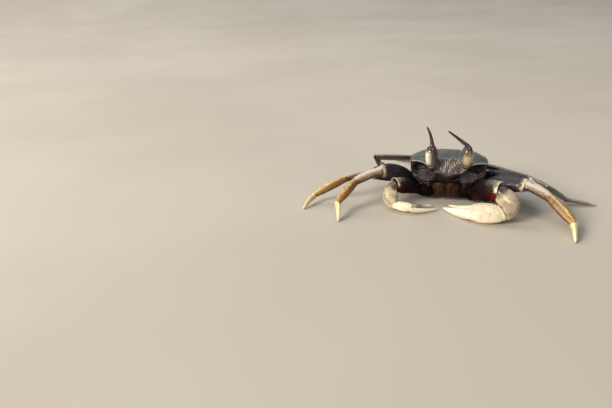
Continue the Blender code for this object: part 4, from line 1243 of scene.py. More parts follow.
def claw_forms(name):
    """A claw's arm, wrist, hand and two fingers, measured; the far finger is one solid with the hand."""
    merus, carpus, palm, finger = ("claw_%s_%s" % (name, p) for p in ("merus", "carpus", "palm", "finger"))
    arm = measure(merus, cap(merus, "underbody", CLAW_CORNERS), cap(merus, carpus, CLAW_CORNERS))
    wrist = measure(carpus, cap(carpus, merus, RING_CORNERS), cap(carpus, palm, RING_CORNERS), curved=True,
                    stations=WRIST_STATIONS)
    root, start = cap(finger, palm, CLAW_CORNERS), cap(palm, carpus, RING_CORNERS)
    way = facing(root, root.mean(0) - start.mean(0))
    edges = edge_lines(palm)
    end = cross_section(edges, root.mean(0) - way * SLICE_BACK, way, SLICE_REACH) + way * SLICE_BACK * 0.7
    hand = measure(palm, start, end, stations=PALM_STATIONS)
    broad = hand["broad"][3][1]
    far_root = cross_section(edges, root.mean(0) + way * SLICE_AHEAD, way, SLICE_REACH)
    far_tip = far_cap(palm, start.mean(0), RING_CORNERS)
    near_tip = far_cap(finger, root.mean(0), CLAW_CORNERS)
    far = measure(palm, far_root, far_tip, hint=broad, stations=FINGER_STATIONS)
    near = measure(finger, root, near_tip, hint=broad, stations=FINGER_STATIONS)
    evened(wrist, 3)
    evened(hand, 2)
    shape_claw(name, arm, wrist, hand, far, near)
    fill_socket(wrist, form_cap(arm, 1), 0.84, 2.0)
    fill_socket(hand, form_cap(wrist, 1), 0.96, 1.3)
    for form in (arm, wrist, hand, far, near):
        form["faces"] = (facing(np.array(form_cap(form, 0)), form["first_way"]),
                         facing(np.array(form_cap(form, 1)), form["last_way"]))
    arm["faces"] = (arm["faces"][0], unit(arm["faces"][1] + np.array(CLAW_LOOKS[name]["arm_tilt"])))
    return arm, wrist, hand, far, near


def evened(form, degree):
    """Smooth out the small jumps that a faceted solid's sections leave in a form's line and widths."""
    for key in ("centre", "half_broad", "half_thin"):
        stations = np.array([k[0] for k in form[key]])
        values = np.array([k[1] for k in form[key]])
        weights = np.where((stations == 0) | (stations == 1), 3.0, 1.0)
        fit = np.polyfit(stations, values.reshape(len(stations), -1), degree, w=weights)
        smoothed = np.stack([np.polyval(fit[:, axis], stations) for axis in range(fit.shape[1])], -1)
        form[key] = [(t, v if values.ndim > 1 else float(v[0])) for t, v in zip(stations, smoothed)]


def scaled(form, key, factor):
    """Scale a form's half width by factor(t)."""
    form[key] = [(t, size * factor(t)) for t, size in form[key]]


def shifted(form, shift, share):
    form["centre"] = [(t, centre + np.array(shift) * share(t)) for t, centre in form["centre"]]


def crook(t):
    """0 before a wrist's bend, 1 after it."""
    return ease(t, 0.3, 0.4)


def last_part(t):
    return ease(t, 0.7, 0.3)


def arch(t):
    """From a finger's root to its tip, most in its middle."""
    return 0.6 + 0.9 * math.sin(math.pi * min(t * 1.1, 1.0))


def shape_claw(name, arm, wrist, hand, far, near):
    """Fill the crook of the wrist, and bring the fixed finger close behind the other one."""
    if name == "minor":
        scaled(wrist, "half_broad", lambda t: 1 + 0.2 * crook(t) - 0.12 * last_part(t))
        shifted(wrist, (1.2, 0.4, 0.3), crook)
        scaled(hand, "half_broad", lambda t: 0.74)
        scaled(hand, "half_thin", lambda t: 0.86)
        shifted(hand, (0.0, 0.3, 0.2), lambda t: 1.0)
        scaled(near, "half_broad", lambda t: 0.84 - 0.1 * t)
        scaled(near, "half_thin", lambda t: 0.86)
        scaled(arm, "half_broad", lambda t: 1 + 0.14 * crook(t))
        shifted(arm, (0.0, 0.0, 0.6), crook)
        shifted(far, (0.0, -0.5, -0.2), arch)
    else:
        scaled(wrist, "half_broad", lambda t: 1 + 0.3 * last_part(t))
        shifted(wrist, (0.3, -0.2, 0.0), crook)
        scaled(near, "half_broad", lambda t: 1.32 - 0.2 * t + 0.12 * (1 - smooth(t / 0.3)))
        shifted(near, (0.0, 0.55, 0.2), lambda t: 1 - 0.8 * t)
        shifted(far, (0.0, -1.0, -0.5), arch)
    scaled(far, "half_broad", lambda t: 0.85)
    scaled(far, "half_thin", lambda t: 0.88)


def form_cap(form, end):
    """The corners of a form's solid nearest to one of its ends."""
    return nearest(corners(form["node"]), form["end"] if end else form["start"], RING_CORNERS - 2)


def palm_rings(hand):
    """The palm with a raised rim at the wrist, a rounded shoulder and a ridge along its lower side."""
    length = hand["length"]
    nose = 1.6 / length
    start_t, start_r = round_start(0.5 / length, nose)
    t = np.concatenate([start_t, np.linspace(nose, 0.95, HAND_ROWS)[1:], (0.972, 0.988, 1.0)])
    r = np.concatenate([start_r, np.ones(HAND_ROWS - 1), (0.985, 0.95, 0.885)])
    r = r * (1 + 0.035 * hump(t, 0.06, 0.025) - 0.035 * hump(t, 0.12, 0.025))
    rings, offset, way = ring_points(hand, HAND, t, r, hand["faces"][0])
    rise = unit(offset)[..., 2]
    ridge = hump(rise, -0.42, 0.2) - 0.8 * hump(rise, -0.08, 0.2)
    rings = rings + unit(offset) * (ridge * between(t, 0.06, 0.85, 0.12)[:, None])[..., None] * 0.32
    return t, rings, offset, way


def hand_shape(hand, far):
    """The palm and the fixed finger grown out of it, as one skin."""
    t, rings, offset, way = palm_rings(hand)
    tip = 0.4 / far["length"]
    bend = np.linspace(0, math.pi / 2 - 0.1, 6)[1:]
    far_t = np.concatenate([np.linspace(0.02, 1 - tip, FIXED_FINGER_ROWS), 1 - tip + tip * np.sin(bend)])
    far_r = np.concatenate([np.ones(FIXED_FINGER_ROWS), np.cos(bend)])
    far_rings, far_offset, far_way = ring_points(far, HAND, far_t, far_r)
    shares = smooth(np.linspace(0, 1, SHOULDER_ROWS + 2)[1:-1])[:, None, None]
    step_rings = rings[-1][None] * (1 - shares) + far_rings[0][None] * shares
    step_offset = offset[-1][None] * (1 - shares) + far_offset[0][None] * shares
    points = np.concatenate([rings, step_rings, far_rings])
    offset = np.concatenate([offset, step_offset, far_offset])
    way = np.concatenate([way, np.repeat(way[-1:], SHOULDER_ROWS, 0), far_way])
    along = np.concatenate([0.25 + 0.35 * np.clip(t, 0, 1), np.full(SHOULDER_ROWS, 0.6), 0.6 + 0.4 * far_t])
    tags = limb_tags(HAND, offset, way, along)
    upper = ease(tags["rise"], -0.25, 0.4)
    top = 0.25 + 0.75 * ease(tags["rise"], 0.1, 0.7)
    tags["grain"] = upper * top * between(along, 0.285, 0.66, 0.04)[:, None]
    tags["hair"] = 0.0 * tags["along"]
    waves = ripple(points, 2.2, seed=4)[..., None] * 0.07 * between(along, 0.28, 0.8, 0.05)[:, None, None]
    return tube(points + unit(offset) * waves, **tags)


def edge_points(form, t, toward):
    """Points on a limb's skin at the stations t, on its side towards a way, with the outward ways."""
    centre, way, broad, thin, half_broad, half_thin = placed(form, t)
    out = unit(toward - way * np.sum(toward * way, -1, keepdims=True))
    a, b = np.sum(out * broad, -1) / half_broad, np.sum(out * thin, -1) / half_thin
    reach = 1 / np.sqrt(a * a + b * b)
    return centre + out * reach[:, None], out, way


def tooth_row(form, t, toward, size, tall, wide=1.0, seed=1):
    """Blunt knobs in a row along a limb's edge."""
    rng = np.random.default_rng(seed)
    shapes = []
    for point, out, way in zip(*edge_points(form, t, toward)):
        s = size * rng.uniform(0.75, 1.2)
        ways = (way, np.cross(way, out), out)
        shapes.append(lump(point - out * s * 0.15, (s * wide, s * 0.8, s * tall), ways, (6, 8)))
    return joined(shapes)


def wrist_skin(wrist, look):
    """The wrist's shell, with grains over all but its start."""
    shape = limb_shape("wrist", LIMB_KINDS["wrist"], wrist, *wrist["faces"])
    tags = shape["tags"]
    start = smooth((tags["along"] - 0.04 - 0.16 * ease(tags["rise"], 0.2, 0.4)) / 0.08)
    cover = ease(tags["rise"], -0.95, 0.4) * between(tags["along"], 0.06, 0.99, 0.03) * start
    tags["grain"], tags["hair"] = cover * look["cover"], cover * 0.06
    return shape


def make_claw_edges(stem, look, forms, finishes):
    """The fingers' teeth, and the spines along the arm and the wrist."""
    arm, wrist, _, far, near = forms
    across = far["centre"][3][1] - near["centre"][3][1]
    rows = np.linspace(0.07, 0.9, look["teeth"])
    tooth, spine, side = look["tooth"], look["spine"], np.array((look["side"], 0.0, 0.0))
    teeth = [tooth_row(near, rows, across, tooth, 0.7, seed=2),
             tooth_row(far, rows, -across, tooth * 0.9, 0.7, seed=3)]
    make(stem + "teeth", joined(teeth), finishes["claw_tooth"])
    spines = tooth_row(arm, np.linspace(0.2, 0.93, 19), DOWN + AHEAD * 0.9, spine, 1.0, 0.7, seed=5)
    make(stem + "arm_spines", spines, finishes["joint"])
    spine = spine * 0.8
    spines = [tooth_row(wrist, np.linspace(0.12, 0.9, 15), DOWN + side * 0.9, spine, 1.3, 0.8, seed=7),
              tooth_row(wrist, np.linspace(0.2, 0.85, 9), -side - DOWN * 0.3, spine, 1.5, 0.8, seed=8)]
    make(stem + "wrist_spines", joined(spines), finishes["ivory_grain"])


def make_claw_joints(stem, forms, finishes):
    """The ring of shell at the arm's root, and the skin of the elbow, the wrist and the near finger."""
    arm, wrist, hand, _, near = forms
    make(stem + "ischium", root_lumps(arm, 1.5, 4.8, CLAW_COXA), finishes["root"])
    make(stem + "elbow_skin", joint_lump(arm, wrist, 1.12, 2.6), finishes["joint"])
    up, way = near["broad"][0][1], near["first_way"]
    knuckle = (near["half_broad"][0][1] * 0.8, near["half_thin"][0][1] * 0.85, 0.8)
    skins = [joint_lump(wrist, hand, 0.86, 1.4), lump(near["start"], knuckle, (up, np.cross(way, up), way))]
    make(stem + "hand_skin", joined(skins), finishes["wrist_grain"])


def make_claw(name, finishes):
    """Four shells, and the claw's teeth, spines, soft skin, grains and bristles."""
    look, stem = CLAW_LOOKS[name], "claw_%s_" % name
    forms = claw_forms(name)
    arm, wrist, hand, far, near = forms
    arm_shape = limb_shape("merus", LIMB_KINDS["claw_merus"], arm, *arm["faces"])
    wrist_shape = wrist_skin(wrist, look)
    palm_shape = hand_shape(hand, far)
    near_shape = limb_shape("finger", LIMB_KINDS["finger"], near, near["faces"][0])
    make(stem + "merus_shell", arm_shape, finishes["claw_arm"], (stem + "merus",))
    make(stem + "wrist_shell", wrist_shape, finishes[look["wrist"]], (stem + "carpus",))
    make(stem + "hand_shell", palm_shape, finishes[look["palm"]], (stem + "palm",))
    make(stem + "finger_shell", near_shape, finishes["finger"], (stem + "finger",))
    make_claw_edges(stem, look, forms, finishes)
    make_claw_joints(stem, forms, finishes)
    size, seed = look["grain"], look["seed"]
    arm_base, wrist_base, palm_base = (unwrapped([shape]) for shape in (arm_shape, wrist_shape, palm_shape))
    scatter(stem + "wrist_grain", wrist_base, "grain", finishes["wrist_grain"],
            spacing=size * 1.6, smallest=size * 0.5, largest=size * 1.2, seed=seed)
    scatter(stem + "palm_grain", palm_base, "grain", finishes["palm_grain"],
            spacing=size * 1.9, smallest=size * 0.35, largest=size * 0.75, seed=seed + 3)
    scatter(stem + "arm_grain", arm_base, "grain", finishes["dark_grain"],
            spacing=0.5, smallest=0.09, largest=0.2, seed=seed + 1)
    scatter(stem + "bristles", wrist_base, "hair", finishes["dark_bristle"],
            spacing=0.8, smallest=0.5, largest=0.9, seed=seed + 2)


# ---------------- body

REAR_Y = 19.5  # rearmost point of the back in its own measures
HALF_WIDTH = 22.5
FRONT_Y, BACK_Y = -18.0, 18.5
MOUTH_BACK_Y = -12.6
FACE_MIDDLE_Z = 14.4
# half width, edge height, height of the floor and height of the middle, from the front to the rear
PLAN = ((0.0, 22.0), (0.1, 22.6), (0.3, 22.7), (0.55, 21.6), (0.75, 19.6), (0.88, 16.8), (0.96, 13.2),
        (1.0, 10.4))
MARGIN = ((0.0, 25.0), (0.3, 24.5), (0.55, 23.2), (0.75, 21.4), (0.9, 19.0), (1.0, 16.8))
SKIRT = ((0.15, 13.4), (0.35, 14.4), (0.6, 17.4), (0.78, 17.0), (0.92, 14.4), (1.0, 12.6))
CROWN = ((0.0, 25.4), (0.2, 26.6), (0.45, 26.9), (0.65, 26.0), (0.8, 24.0), (0.92, 21.0), (1.0, 17.8))
# the brow's place and height, from the middle outwards
BROW_Y = ((0.0, -21.0), (4.0, -20.4), (8.0, -20.0), (11.0, -19.4), (14.0, -18.8), (18.0, -17.6),
          (22.5, -16.0))
BROW_Z = ((0.0, 17.4), (4.0, 18.9), (8.0, 19.6), (11.0, 22.6), (14.0, 24.7), (18.0, 25.4), (22.5, 24.8))
# the section below the edge, from the middle of the floor up: in front, and behind as (x, rise)
FACE_SIDE = ((0.0, 3.3), (5.0, 3.2), (9.4, 3.7), (10.6, 7.8), (15.2, 10.8), (20.2, 14.0), (22.1, 19.0))
SIDE_WALL = ((0.0, 0.0), (5.0, 0.0), (9.4, 0.0), (12.8, 0.0), (16.4, 0.0), (20.0, 0.3), (21.9, 0.65))
CROWN_POWER = 3.6
ORBIT = dict(x=15.2, z=20.6, wide=6.4, tall=4.0, deep=4.4)
LOBE = dict(x=12.4, z=16.4, wide=5.8, tall=3.9, proud=2.9)
LOWER_PLACES, TOP_PLACES = 60, 76
BROW_SWEEP = 2.0  # how far back the front's outer corners stand
FAN_FOOT, FAN_SPREAD = 11.5, 10.0  # the front's streaks fan out from a point below it
BROW_BEAD, SIDE_BEAD, ORBIT_BEAD = 0.34, 0.22, 0.17  # half widths of the beaded edges

low_corner, high_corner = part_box("carapace")
HOME = np.array(((low_corner.x + high_corner.x) / 2 / MM, high_corner.y / MM - REAR_Y, 0.0))


def oval_share(x, z, oval):
    """0 at the middle of an oval on the face, 1 on its edge."""
    return ((np.abs(x) - oval["x"]) / oval["wide"]) ** 2 + ((z - oval["z"]) / oval["tall"]) ** 2


def mouth_share(x, z):
    return np.maximum(np.abs(x) / 9.6, np.abs(z - 8.0) / 5.8)


def face_y(x, z):
    """How far forward the front of the body stands at a place, with orbits, cheeks and the mouth frame."""
    y = -18.6 - 0.9 * (1.0 - (x / HALF_WIDTH) ** 2) + 2.6 * (np.abs(x) / HALF_WIDTH) ** 2
    orbit, lobe, mouth = oval_share(x, z, ORBIT), oval_share(x, z, LOBE), mouth_share(x, z)
    y = y + ORBIT["deep"] * smooth(1.08 - orbit) - LOBE["proud"] * smooth(1.2 - lobe)
    y = y + 1.9 * smooth((1.08 - mouth) * 4.0)
    y = y - 0.45 * hump(mouth, 1.12, 0.05)
    y = y - 0.5 * hump(orbit, 1.12, 0.13) * smooth((20.0 - z) / 2.0)
    y = y + 0.4 * hump(lobe, 1.25, 0.12) * smooth((15.0 - z) / 3.0)
    y = y - 0.5 * hump(z, 14.2, 0.45) * smooth((8.0 - np.abs(x)) / 2.0)
    y = y + 0.35 * hump(z, 15.2, 0.35) * smooth((6.5 - np.abs(x)) / 2.0)
    furrow = z - 9.0 - 0.42 * (np.abs(x) - 10.0)
    return y + 0.45 * hump(furrow, 0.0, 0.4) * smooth((np.abs(x) - 10.8) / 1.0)


def back_relief(x, y):
    """Shallow grooves that part the regions of the back."""
    ax = np.abs(x)
    inner = hump(ax, 6.2 + 0.9 * np.sin(y / 4.5), 0.9) * between(y, -7.0, 13.0, 3.0)
    cross = hump(y, 0.5 - 0.035 * ax * ax, 0.9) * smooth((16.0 - ax) / 6.0)
    rear = hump(y, 11.5 - 0.02 * ax * ax, 0.8) * smooth((9.0 - ax) / 3.0)
    gill = hump(ax, 13.5, 4.5) * hump(y, 3.0, 8.0)
    front = hump(ax, 2.2, 1.6) * hump(y, -13.0, 4.0)
    return 0.3 * gill + 0.18 * front - 0.34 * inner - 0.3 * cross - 0.22 * rear


def back_height(x, t):
    """Height of the back, falling to the brow at its front."""
    half, crown, margin = through(PLAN, t), through(CROWN, t), through(MARGIN, t)
    height = crown + (margin - crown) * np.minimum(np.abs(x) / half, 1.0) ** CROWN_POWER
    fall = 1.0 - smooth(t / 0.15)
    return height + (through(BROW_Z, np.abs(x)) - height) * fall


def body_rings(t):
    """Closed sections of the carapace, from the middle of its floor round by the left side."""
    y = FRONT_Y + (BACK_Y - FRONT_Y) * t
    half, margin, skirt = through(PLAN, t), through(MARGIN, t), through(SKIRT, t)
    face = 1.0 - smooth((y - MOUTH_BACK_Y) / 1.2)
    sweep = 1.0 - smooth(t / 0.3)
    narrow = half / through(PLAN, 0.2)
    knots = []
    for k, ((fx, fz), (sx, rise)) in enumerate(zip(FACE_SIDE, SIDE_WALL)):
        x = sx * narrow + (fx - sx * narrow) * face
        z = skirt + (margin - skirt) * rise
        knots.append((k / 7.0, np.stack([x, z + (fz - z) * face], -1)))
    knots.append((1.0, np.stack([half, margin], -1)))
    lower = np.moveaxis(through(knots, np.linspace(0, 1, LOWER_PLACES)), 0, 1)
    lower_y = y[:, None] + (sweep * BROW_SWEEP)[:, None] * (lower[..., 0] / HALF_WIDTH) ** 2
    step = (1.0 - np.linspace(0, 1, TOP_PLACES) ** 1.25)[None, 1:]
    top_x = half[:, None] * step
    top_y = y[:, None] + (through(BROW_Y, top_x) - FRONT_Y) * sweep[:, None]
    top_t = np.broadcast_to(t[:, None], top_x.shape)
    top_z = back_height(top_x, top_t)
    edge_fade = smooth((1 - step) / 0.12) * smooth(t / 0.12)[:, None]
    top_z = top_z + back_relief(top_x, top_y) * edge_fade
    left = np.concatenate([np.stack([lower[..., 0], lower_y, lower[..., 1]], -1),
                           np.stack([top_x, top_y, top_z], -1)], 1)
    right = left[:, -2:0:-1] * np.array((-1.0, 1.0, 1.0))
    return np.concatenate([left, right], 1)


def mirrored_places(values):
    """Values for the left half of a section, carried round the whole of it."""
    return np.concatenate([values, values[-2:0:-1]])


def carapace_grid():
    """Face, back, flanks and rear wall as one grid, and how many of its rows are the face's."""
    t = np.concatenate([np.linspace(0, 0.16, 26)[:-1], np.linspace(0.16, 0.88, 72)[:-1],
                        np.linspace(0.88, 1, 20)])
    body = body_rings(t)
    rim_x, rim_y, rim_z = (body[0][None, :, axis] for axis in range(3))
    inward = np.linspace(0.985, 0.0, 92)[:-1][:, None]
    x = rim_x * (1 - inward)
    z = rim_z + (FACE_MIDDLE_Z - rim_z) * inward
    y = rim_y + (face_y(x, z) - rim_y) * smooth(inward / 0.075)
    y = np.where(rim_z > 16.0, np.maximum(y, rim_y + 0.3 * smooth(inward / 0.02)), y)
    front = np.stack([x, y, z], -1)
    hub = np.array((0.0, BACK_Y + 1.0, 15.4))
    close = np.sin(np.linspace(0, math.pi / 2, 14)[1:-1])[:, None, None]
    back = body[-1][None] * (1 - close) + hub * close
    back[..., 1] = BACK_Y + 0.9 * np.sin(close[..., 0] * math.pi / 2) ** 0.5
    return np.concatenate([front, body, back]), len(front)


def carapace_regions(points, is_face):
    """How far each point belongs to each part of the carapace, 0 to 1."""
    places = np.concatenate([np.linspace(0, 1, LOWER_PLACES), np.full(TOP_PLACES - 1, 2.0)])
    dorsal = np.where(is_face, 0.0, mirrored_places(ease(places, 0.955, 0.04))[None])
    x, y, z = (points[..., axis] for axis in range(3))
    ax = np.abs(x)
    return dict(
        dorsal=dorsal,
        orbit=smooth((1.12 - oval_share(x, z, ORBIT)) * 4) * is_face,
        lobe=smooth((1.0 - oval_share(x, z, dict(LOBE, wide=5.6, tall=3.6))) * 3) * is_face,
        frame=smooth((1.2 - mouth_share(x, z)) * 6) * is_face,
        fore=dorsal * smooth((-11.5 - y) / 5.0) * smooth((13.0 - ax) / 5.0),
        face=np.where(is_face, 1.0, 1 - ease(y, -13.0, 5.0)) * (1 - dorsal),
        middle=dorsal * smooth((9.0 - ax) / 8.0))


def brow_streaks(points):
    """Ridges that fan out over the front, from about -1 to 1."""
    x, y, z = (points[..., axis] for axis in range(3))
    fan = [np.arctan2(x, z - FAN_FOOT) * FAN_SPREAD, np.hypot(x, z - FAN_FOOT) * 0.2, y * 0.2]
    return ripple(np.stack(fan, -1), 0.95, seed=14)


def carapace_shape():
    """The carapace as one skin, with the values that its colours, grains and bristles follow."""
    points, face_rows = carapace_grid()
    row = np.arange(len(points))[:, None]
    is_face = row < face_rows
    tags = carapace_regions(points, is_face)
    dorsal, fore, face, mouth = (tags[key] for key in ("dorsal", "fore", "face", "frame"))
    x, z = points[..., 0], points[..., 2]
    streaks = brow_streaks(points)
    fine = ripple(points, 1.3, seed=12) * 0.10 * np.maximum(fore, face * (1 - mouth))
    waves = ripple(points, 3.0, seed=11) * 0.05 + fine + 0.22 * streaks * fore
    behind = np.clip((row - face_rows) / len(points), 0.0, 1.0)
    # crest: ridge tops of the front's streaks, which carry its painted highlights
    crest = ease(streaks, 0.15, 0.6) * smooth(fore * 1.4) * ease(behind, 0.004, 0.02)
    low_brow = smooth((20.4 - z) / 2.6) * smooth(fore * 2.0)
    broken = smooth((ripple(points, 1.5, seed=15) + 0.75) / 0.8)
    tags["crest"], tags["low_brow"] = crest * broken * (1 - 0.55 * low_brow), low_brow
    brow = ease(z, 17.0, 2.0) * is_face
    cheek = is_face * (1 - mouth) * (1 - tags["orbit"]) * (1 - brow)
    flank = (1 - dorsal) * (1 - is_face) * face
    tags["grain"] = np.maximum(fore * 0.8, 0.02 * dorsal) + 0.3 * cheek + 0.25 * flank
    lashes = hump(mouth_share(x, z), 1.14, 0.06) * is_face
    tags["hair"] = cheek * smooth((13.5 - z) / 3.0) * 0.3 + 0.55 * lashes
    tags["lie"] = np.broadcast_to(np.array((0.0, -0.35, -1.0)), points.shape)
    tags["bake_u"] = 0.02 + 0.95 * (np.arange(points.shape[1]) / points.shape[1])[None]
    tags["bake_v"] = 0.02 + 0.95 * row / len(points)
    lift = np.where(dorsal > 0.5, 1.0, 0.0)
    points = points + np.stack([0 * waves, -waves * (1 - lift), waves * lift], -1)
    return tube(points + HOME, **tags)


def distance_along(path):
    return np.concatenate([[0.0], np.cumsum(np.linalg.norm(np.diff(path, axis=0), axis=1))])


def rope(path, radius, sides=10, beads=0.0, bead_length=0.9, pale=1.0):
    """A tube along a path of points, beaded if asked."""
    way = unit(np.gradient(path, axis=0))
    up = np.array((0.0, 0.0, 1.0))
    side = unit(np.cross(way, up))
    over = np.cross(side, way)
    run = distance_along(path)
    size = radius * (1 + beads * np.cos(run * 2 * math.pi / bead_length))
    angle = section_angles(sides)[None]
    ring = side[:, None] * np.cos(angle)[..., None] + over[:, None] * np.sin(angle)[..., None]
    along = run / run[-1]
    pale = np.broadcast_to(pale, along.shape)
    return tube(path[:, None] + ring * size[:, None, None], along=along[:, None], pale=pale[:, None])


def resampled(path, step):
    """The path as points about step mm apart."""
    run = distance_along(path)
    places = np.linspace(0, run[-1], int(run[-1] / step) + 2)
    return np.stack([np.interp(places, run, path[:, axis]) for axis in range(3)], -1)


def make_margins(finishes):
    """The beaded edges: over the eyes, down the sides of the back, and under the orbits."""
    rim = body_rings(np.array([0.0]))[0]
    top = rim[LOWER_PLACES - 1:LOWER_PLACES + 2 * TOP_PLACES - 2]
    brow = resampled(top, 0.16)
    away = np.abs(brow[:, 0])
    outer = ease(away, 8.5, 4.0)
    thick = BROW_BEAD * (0.2 + 0.8 * outer) * (1 - 0.5 * ease(away, 20.5, 2))
    shapes = [rope(brow + HOME, thick, beads=0.08, pale=outer)]
    t = np.linspace(0.0, 0.78, 120)
    unders = []
    for side in SIDES.values():
        half, height = through(PLAN, t), through(MARGIN, t)
        sweep = 1.0 - smooth(t / 0.3)
        y = FRONT_Y + (BACK_Y - FRONT_Y) * t + BROW_SWEEP * sweep
        edge = resampled(np.stack([side * half, y, height], -1), 0.2)
        fade = np.linspace(1.0, 0.35, len(edge))
        shapes.append(rope(edge + HOME, SIDE_BEAD * fade, beads=0.22, pale=0.35))
        angle = np.radians(np.linspace(285, 352, 60))
        x = ORBIT["x"] + ORBIT["wide"] * 1.05 * np.cos(angle)
        z = ORBIT["z"] + ORBIT["tall"] * 1.05 * np.sin(angle)
        under = resampled(np.stack([side * x, face_y(x, z) - 0.05, z], -1), 0.1)
        unders.append(rope(under + HOME, ORBIT_BEAD, beads=0.35, bead_length=0.6))
    make("carapace_margin_beads", joined(shapes), finishes["margin"])
    make("orbit_margin_beads", joined(unders), finishes["dark_grain"])


def make_body(finishes):
    shape = carapace_shape()
    make("carapace_shell", shape, finishes["carapace"], ("carapace",))
    make_margins(finishes)
    scatter("carapace_grain", shape, "grain", finishes["slate_grain"],
            spacing=0.42, smallest=0.07, largest=0.2, seed=201)
    scatter("face_bristles", shape, "hair", finishes["dark_bristle"],
            spacing=0.42, smallest=0.5, largest=1.1, seed=202)


# ---------------- underside

PLATE_SEAMS = (-7.4, -2.4, 2.8, 7.4, 11.2)
FLAP_HALF = ((0.0, 6.2), (0.2, 6.0), (0.4, 4.0), (0.8, 2.9), (1.0, 1.2))
FLAP_ROWS, FLAP_SIDES = 110, 40
FLAP_JOINTS, FLAP_THICK = 7, 0.75


def remeshed(node, voxel, rounds):
    """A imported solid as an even, softened skin of points and four-sided faces."""
    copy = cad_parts[node].data.copy()
    bm = bmesh.new()
    bm.from_mesh(copy)
    bmesh.ops.remove_doubles(bm, verts=bm.verts, dist=1e-6)
    bm.to_mesh(copy)
    bm.free()
    carrier = show("softened", copy)
    even = carrier.modifiers.new("even", "REMESH")
    even.mode = "VOXEL"
    even.voxel_size = voxel * MM
    soft = carrier.modifiers.new("soft", "SMOOTH")
    soft.factor, soft.iterations = 0.5, rounds
    mesh = plain(carrier)
    points = np.array([v.co for v in mesh.vertices], float) / MM
    normals = np.array([v.normal for v in mesh.vertices], float)
    quads = np.array([p.vertices[:] for p in mesh.polygons if len(p.vertices) == 4])
    fans = np.array([p.vertices[:] for p in mesh.polygons if len(p.vertices) == 3]).reshape(-1, 3)
    return dict(points=points, quads=quads, fans=fans.astype(int), tags={}), normals


def make_sternum(finishes):
    """The plates below, parted by seams, and the roots of the legs."""
    shape, normals = remeshed("underbody", 0.42, 6)
    x, y, z = (shape["points"] - HOME).T
    ax = np.abs(x)
    below = ease(-normals[:, 2], 0.1, 0.5)
    inside = smooth((13.5 - ax) / 2.0)
    seams = sum(hump(y + 0.1 * ax, place, 0.35) for place in PLATE_SEAMS)
    sink = below * inside * (0.45 * np.minimum(seams, 1.0) + 0.3 * hump(ax, 0.0, 0.3))
    swell = 0.25 * below * inside * np.cos((y + 0.1 * ax) * 2 * math.pi / 5.0)
    lumpy = ripple(shape["points"] - HOME, 2.4, seed=21) * 0.06
    shape["points"] = shape["points"] + normals * (lumpy + swell - sink)[:, None]
    shape["tags"]["low"] = below * smooth((12.0 - z) / 4.0)
    shape["tags"]["fore"] = smooth((-9.0 - y) / 4.0)
    make("underbody_shell", shape, finishes["underbody"], ("underbody",))


def make_tail_flap(finishes):
    """The narrow jointed abdomen of a male, folded under the rear."""
    low, high = box_corners("abdomen")
    t = np.linspace(0, 1, FLAP_ROWS)
    ridge = 1 - 0.5 * np.abs(np.sin(t * FLAP_JOINTS * math.pi)) ** 8
    half = through(FLAP_HALF, t) * (0.97 + 0.03 * ridge)
    y = high[1] + (low[1] - high[1]) * t
    top = high[2] - 1.6 * smooth(t / 0.35) - 0.1
    angle = section_angles(FLAP_SIDES)[None]
    thick = FLAP_THICK * (0.75 + 0.25 * ridge)[:, None]
    grid = np.stack([(low[0] + high[0]) / 2 + half[:, None] * squared(np.cos(angle), 0.8),
                     np.broadcast_to(y[:, None], (FLAP_ROWS, FLAP_SIDES)),
                     top[:, None] - FLAP_THICK + thick * squared(np.sin(angle), 0.9)], -1)
    flap = tube(rounded_ends(grid, t, 0.02, 0.15), low=1.0, fore=0.0)
    make("abdomen_shell", flap, finishes["underbody"], ("abdomen",))


# ---------------- mouth and feelers

MOUTH_SET_BACK = 0.9
JAW_OUTER = ((0.0, 6.6), (0.15, 8.2), (0.6, 8.6), (0.9, 7.9), (1.0, 6.2))
JAW_ROWS, JAW_SIDES, ROD_ROWS = 90, 64, 30
PALP_JOINTS = ((4.4, -1.6, -0.4), (3.1, -2.6, -0.7), (2.2, -2.8, -2.6), (1.5, -2.5, -4.6))
PALP_SIZES = (0.95, 0.85, 0.7)
ANTENNA = dict(LIMB_KINDS["dactyl"], rows=50, sides=20, tuck=0.6, nose=0.5, flutes=0, flute=0.0)


def jaw_foot(side, low, high):
    """An outer jaw foot: two plates with a slanting seam and a groove, closing half of the mouth."""
    t = np.linspace(0, 1, JAW_ROWS)
    z = (low[2] + (high[2] - low[2]) * t)[:, None]
    outer, inner = through(JAW_OUTER, t)[:, None], (0.2 + 0.35 * hump(t, 1.0, 0.12))[:, None]
    angle = section_angles(JAW_SIDES)[None]
    c, s = np.cos(angle), np.sin(angle)
    x = (outer + inner) / 2 + (outer - inner) / 2 * squared(c, 0.55)
    share = (x - inner) / (outer - inner)
    front = s > 0
    thick = 0.95 + 0.55 * np.sin(math.pi * share.clip(0, 1)) + np.sin(math.pi * t)[:, None] * 0.8
    y = high[1] - 0.5 - np.where(front, thick, 0.4) * squared(s, 0.6) + 0.9 * share ** 2
    seam = z - (9.4 + 0.14 * x)
    y = y + front * (0.5 * hump(seam, 0.0, 0.28) + 0.35 * hump(share, 0.36, 0.05) * smooth(-seam / 0.8)
                     + 0.25 * hump(share, 0.72, 0.04))
    grid = rounded_ends(np.stack([side * x, y, np.broadcast_to(z, x.shape)], -1), t, 0.05, 0.2)
    grid = grid + np.array((HOME[0], MOUTH_SET_BACK, 0.0))
    edges = (0.8 * hump(share, 0.0, 0.12) + 0.35 * hump(share, 1.0, 0.12)) * front
    return tube(grid, across=share, along=t[:, None], hair=between(t, 0.04, 0.96, 0.05)[:, None] * edges,
                lie=np.broadcast_to((-0.3 * side, -0.5, -1.0), grid.shape), turn=angle / (2 * math.pi))


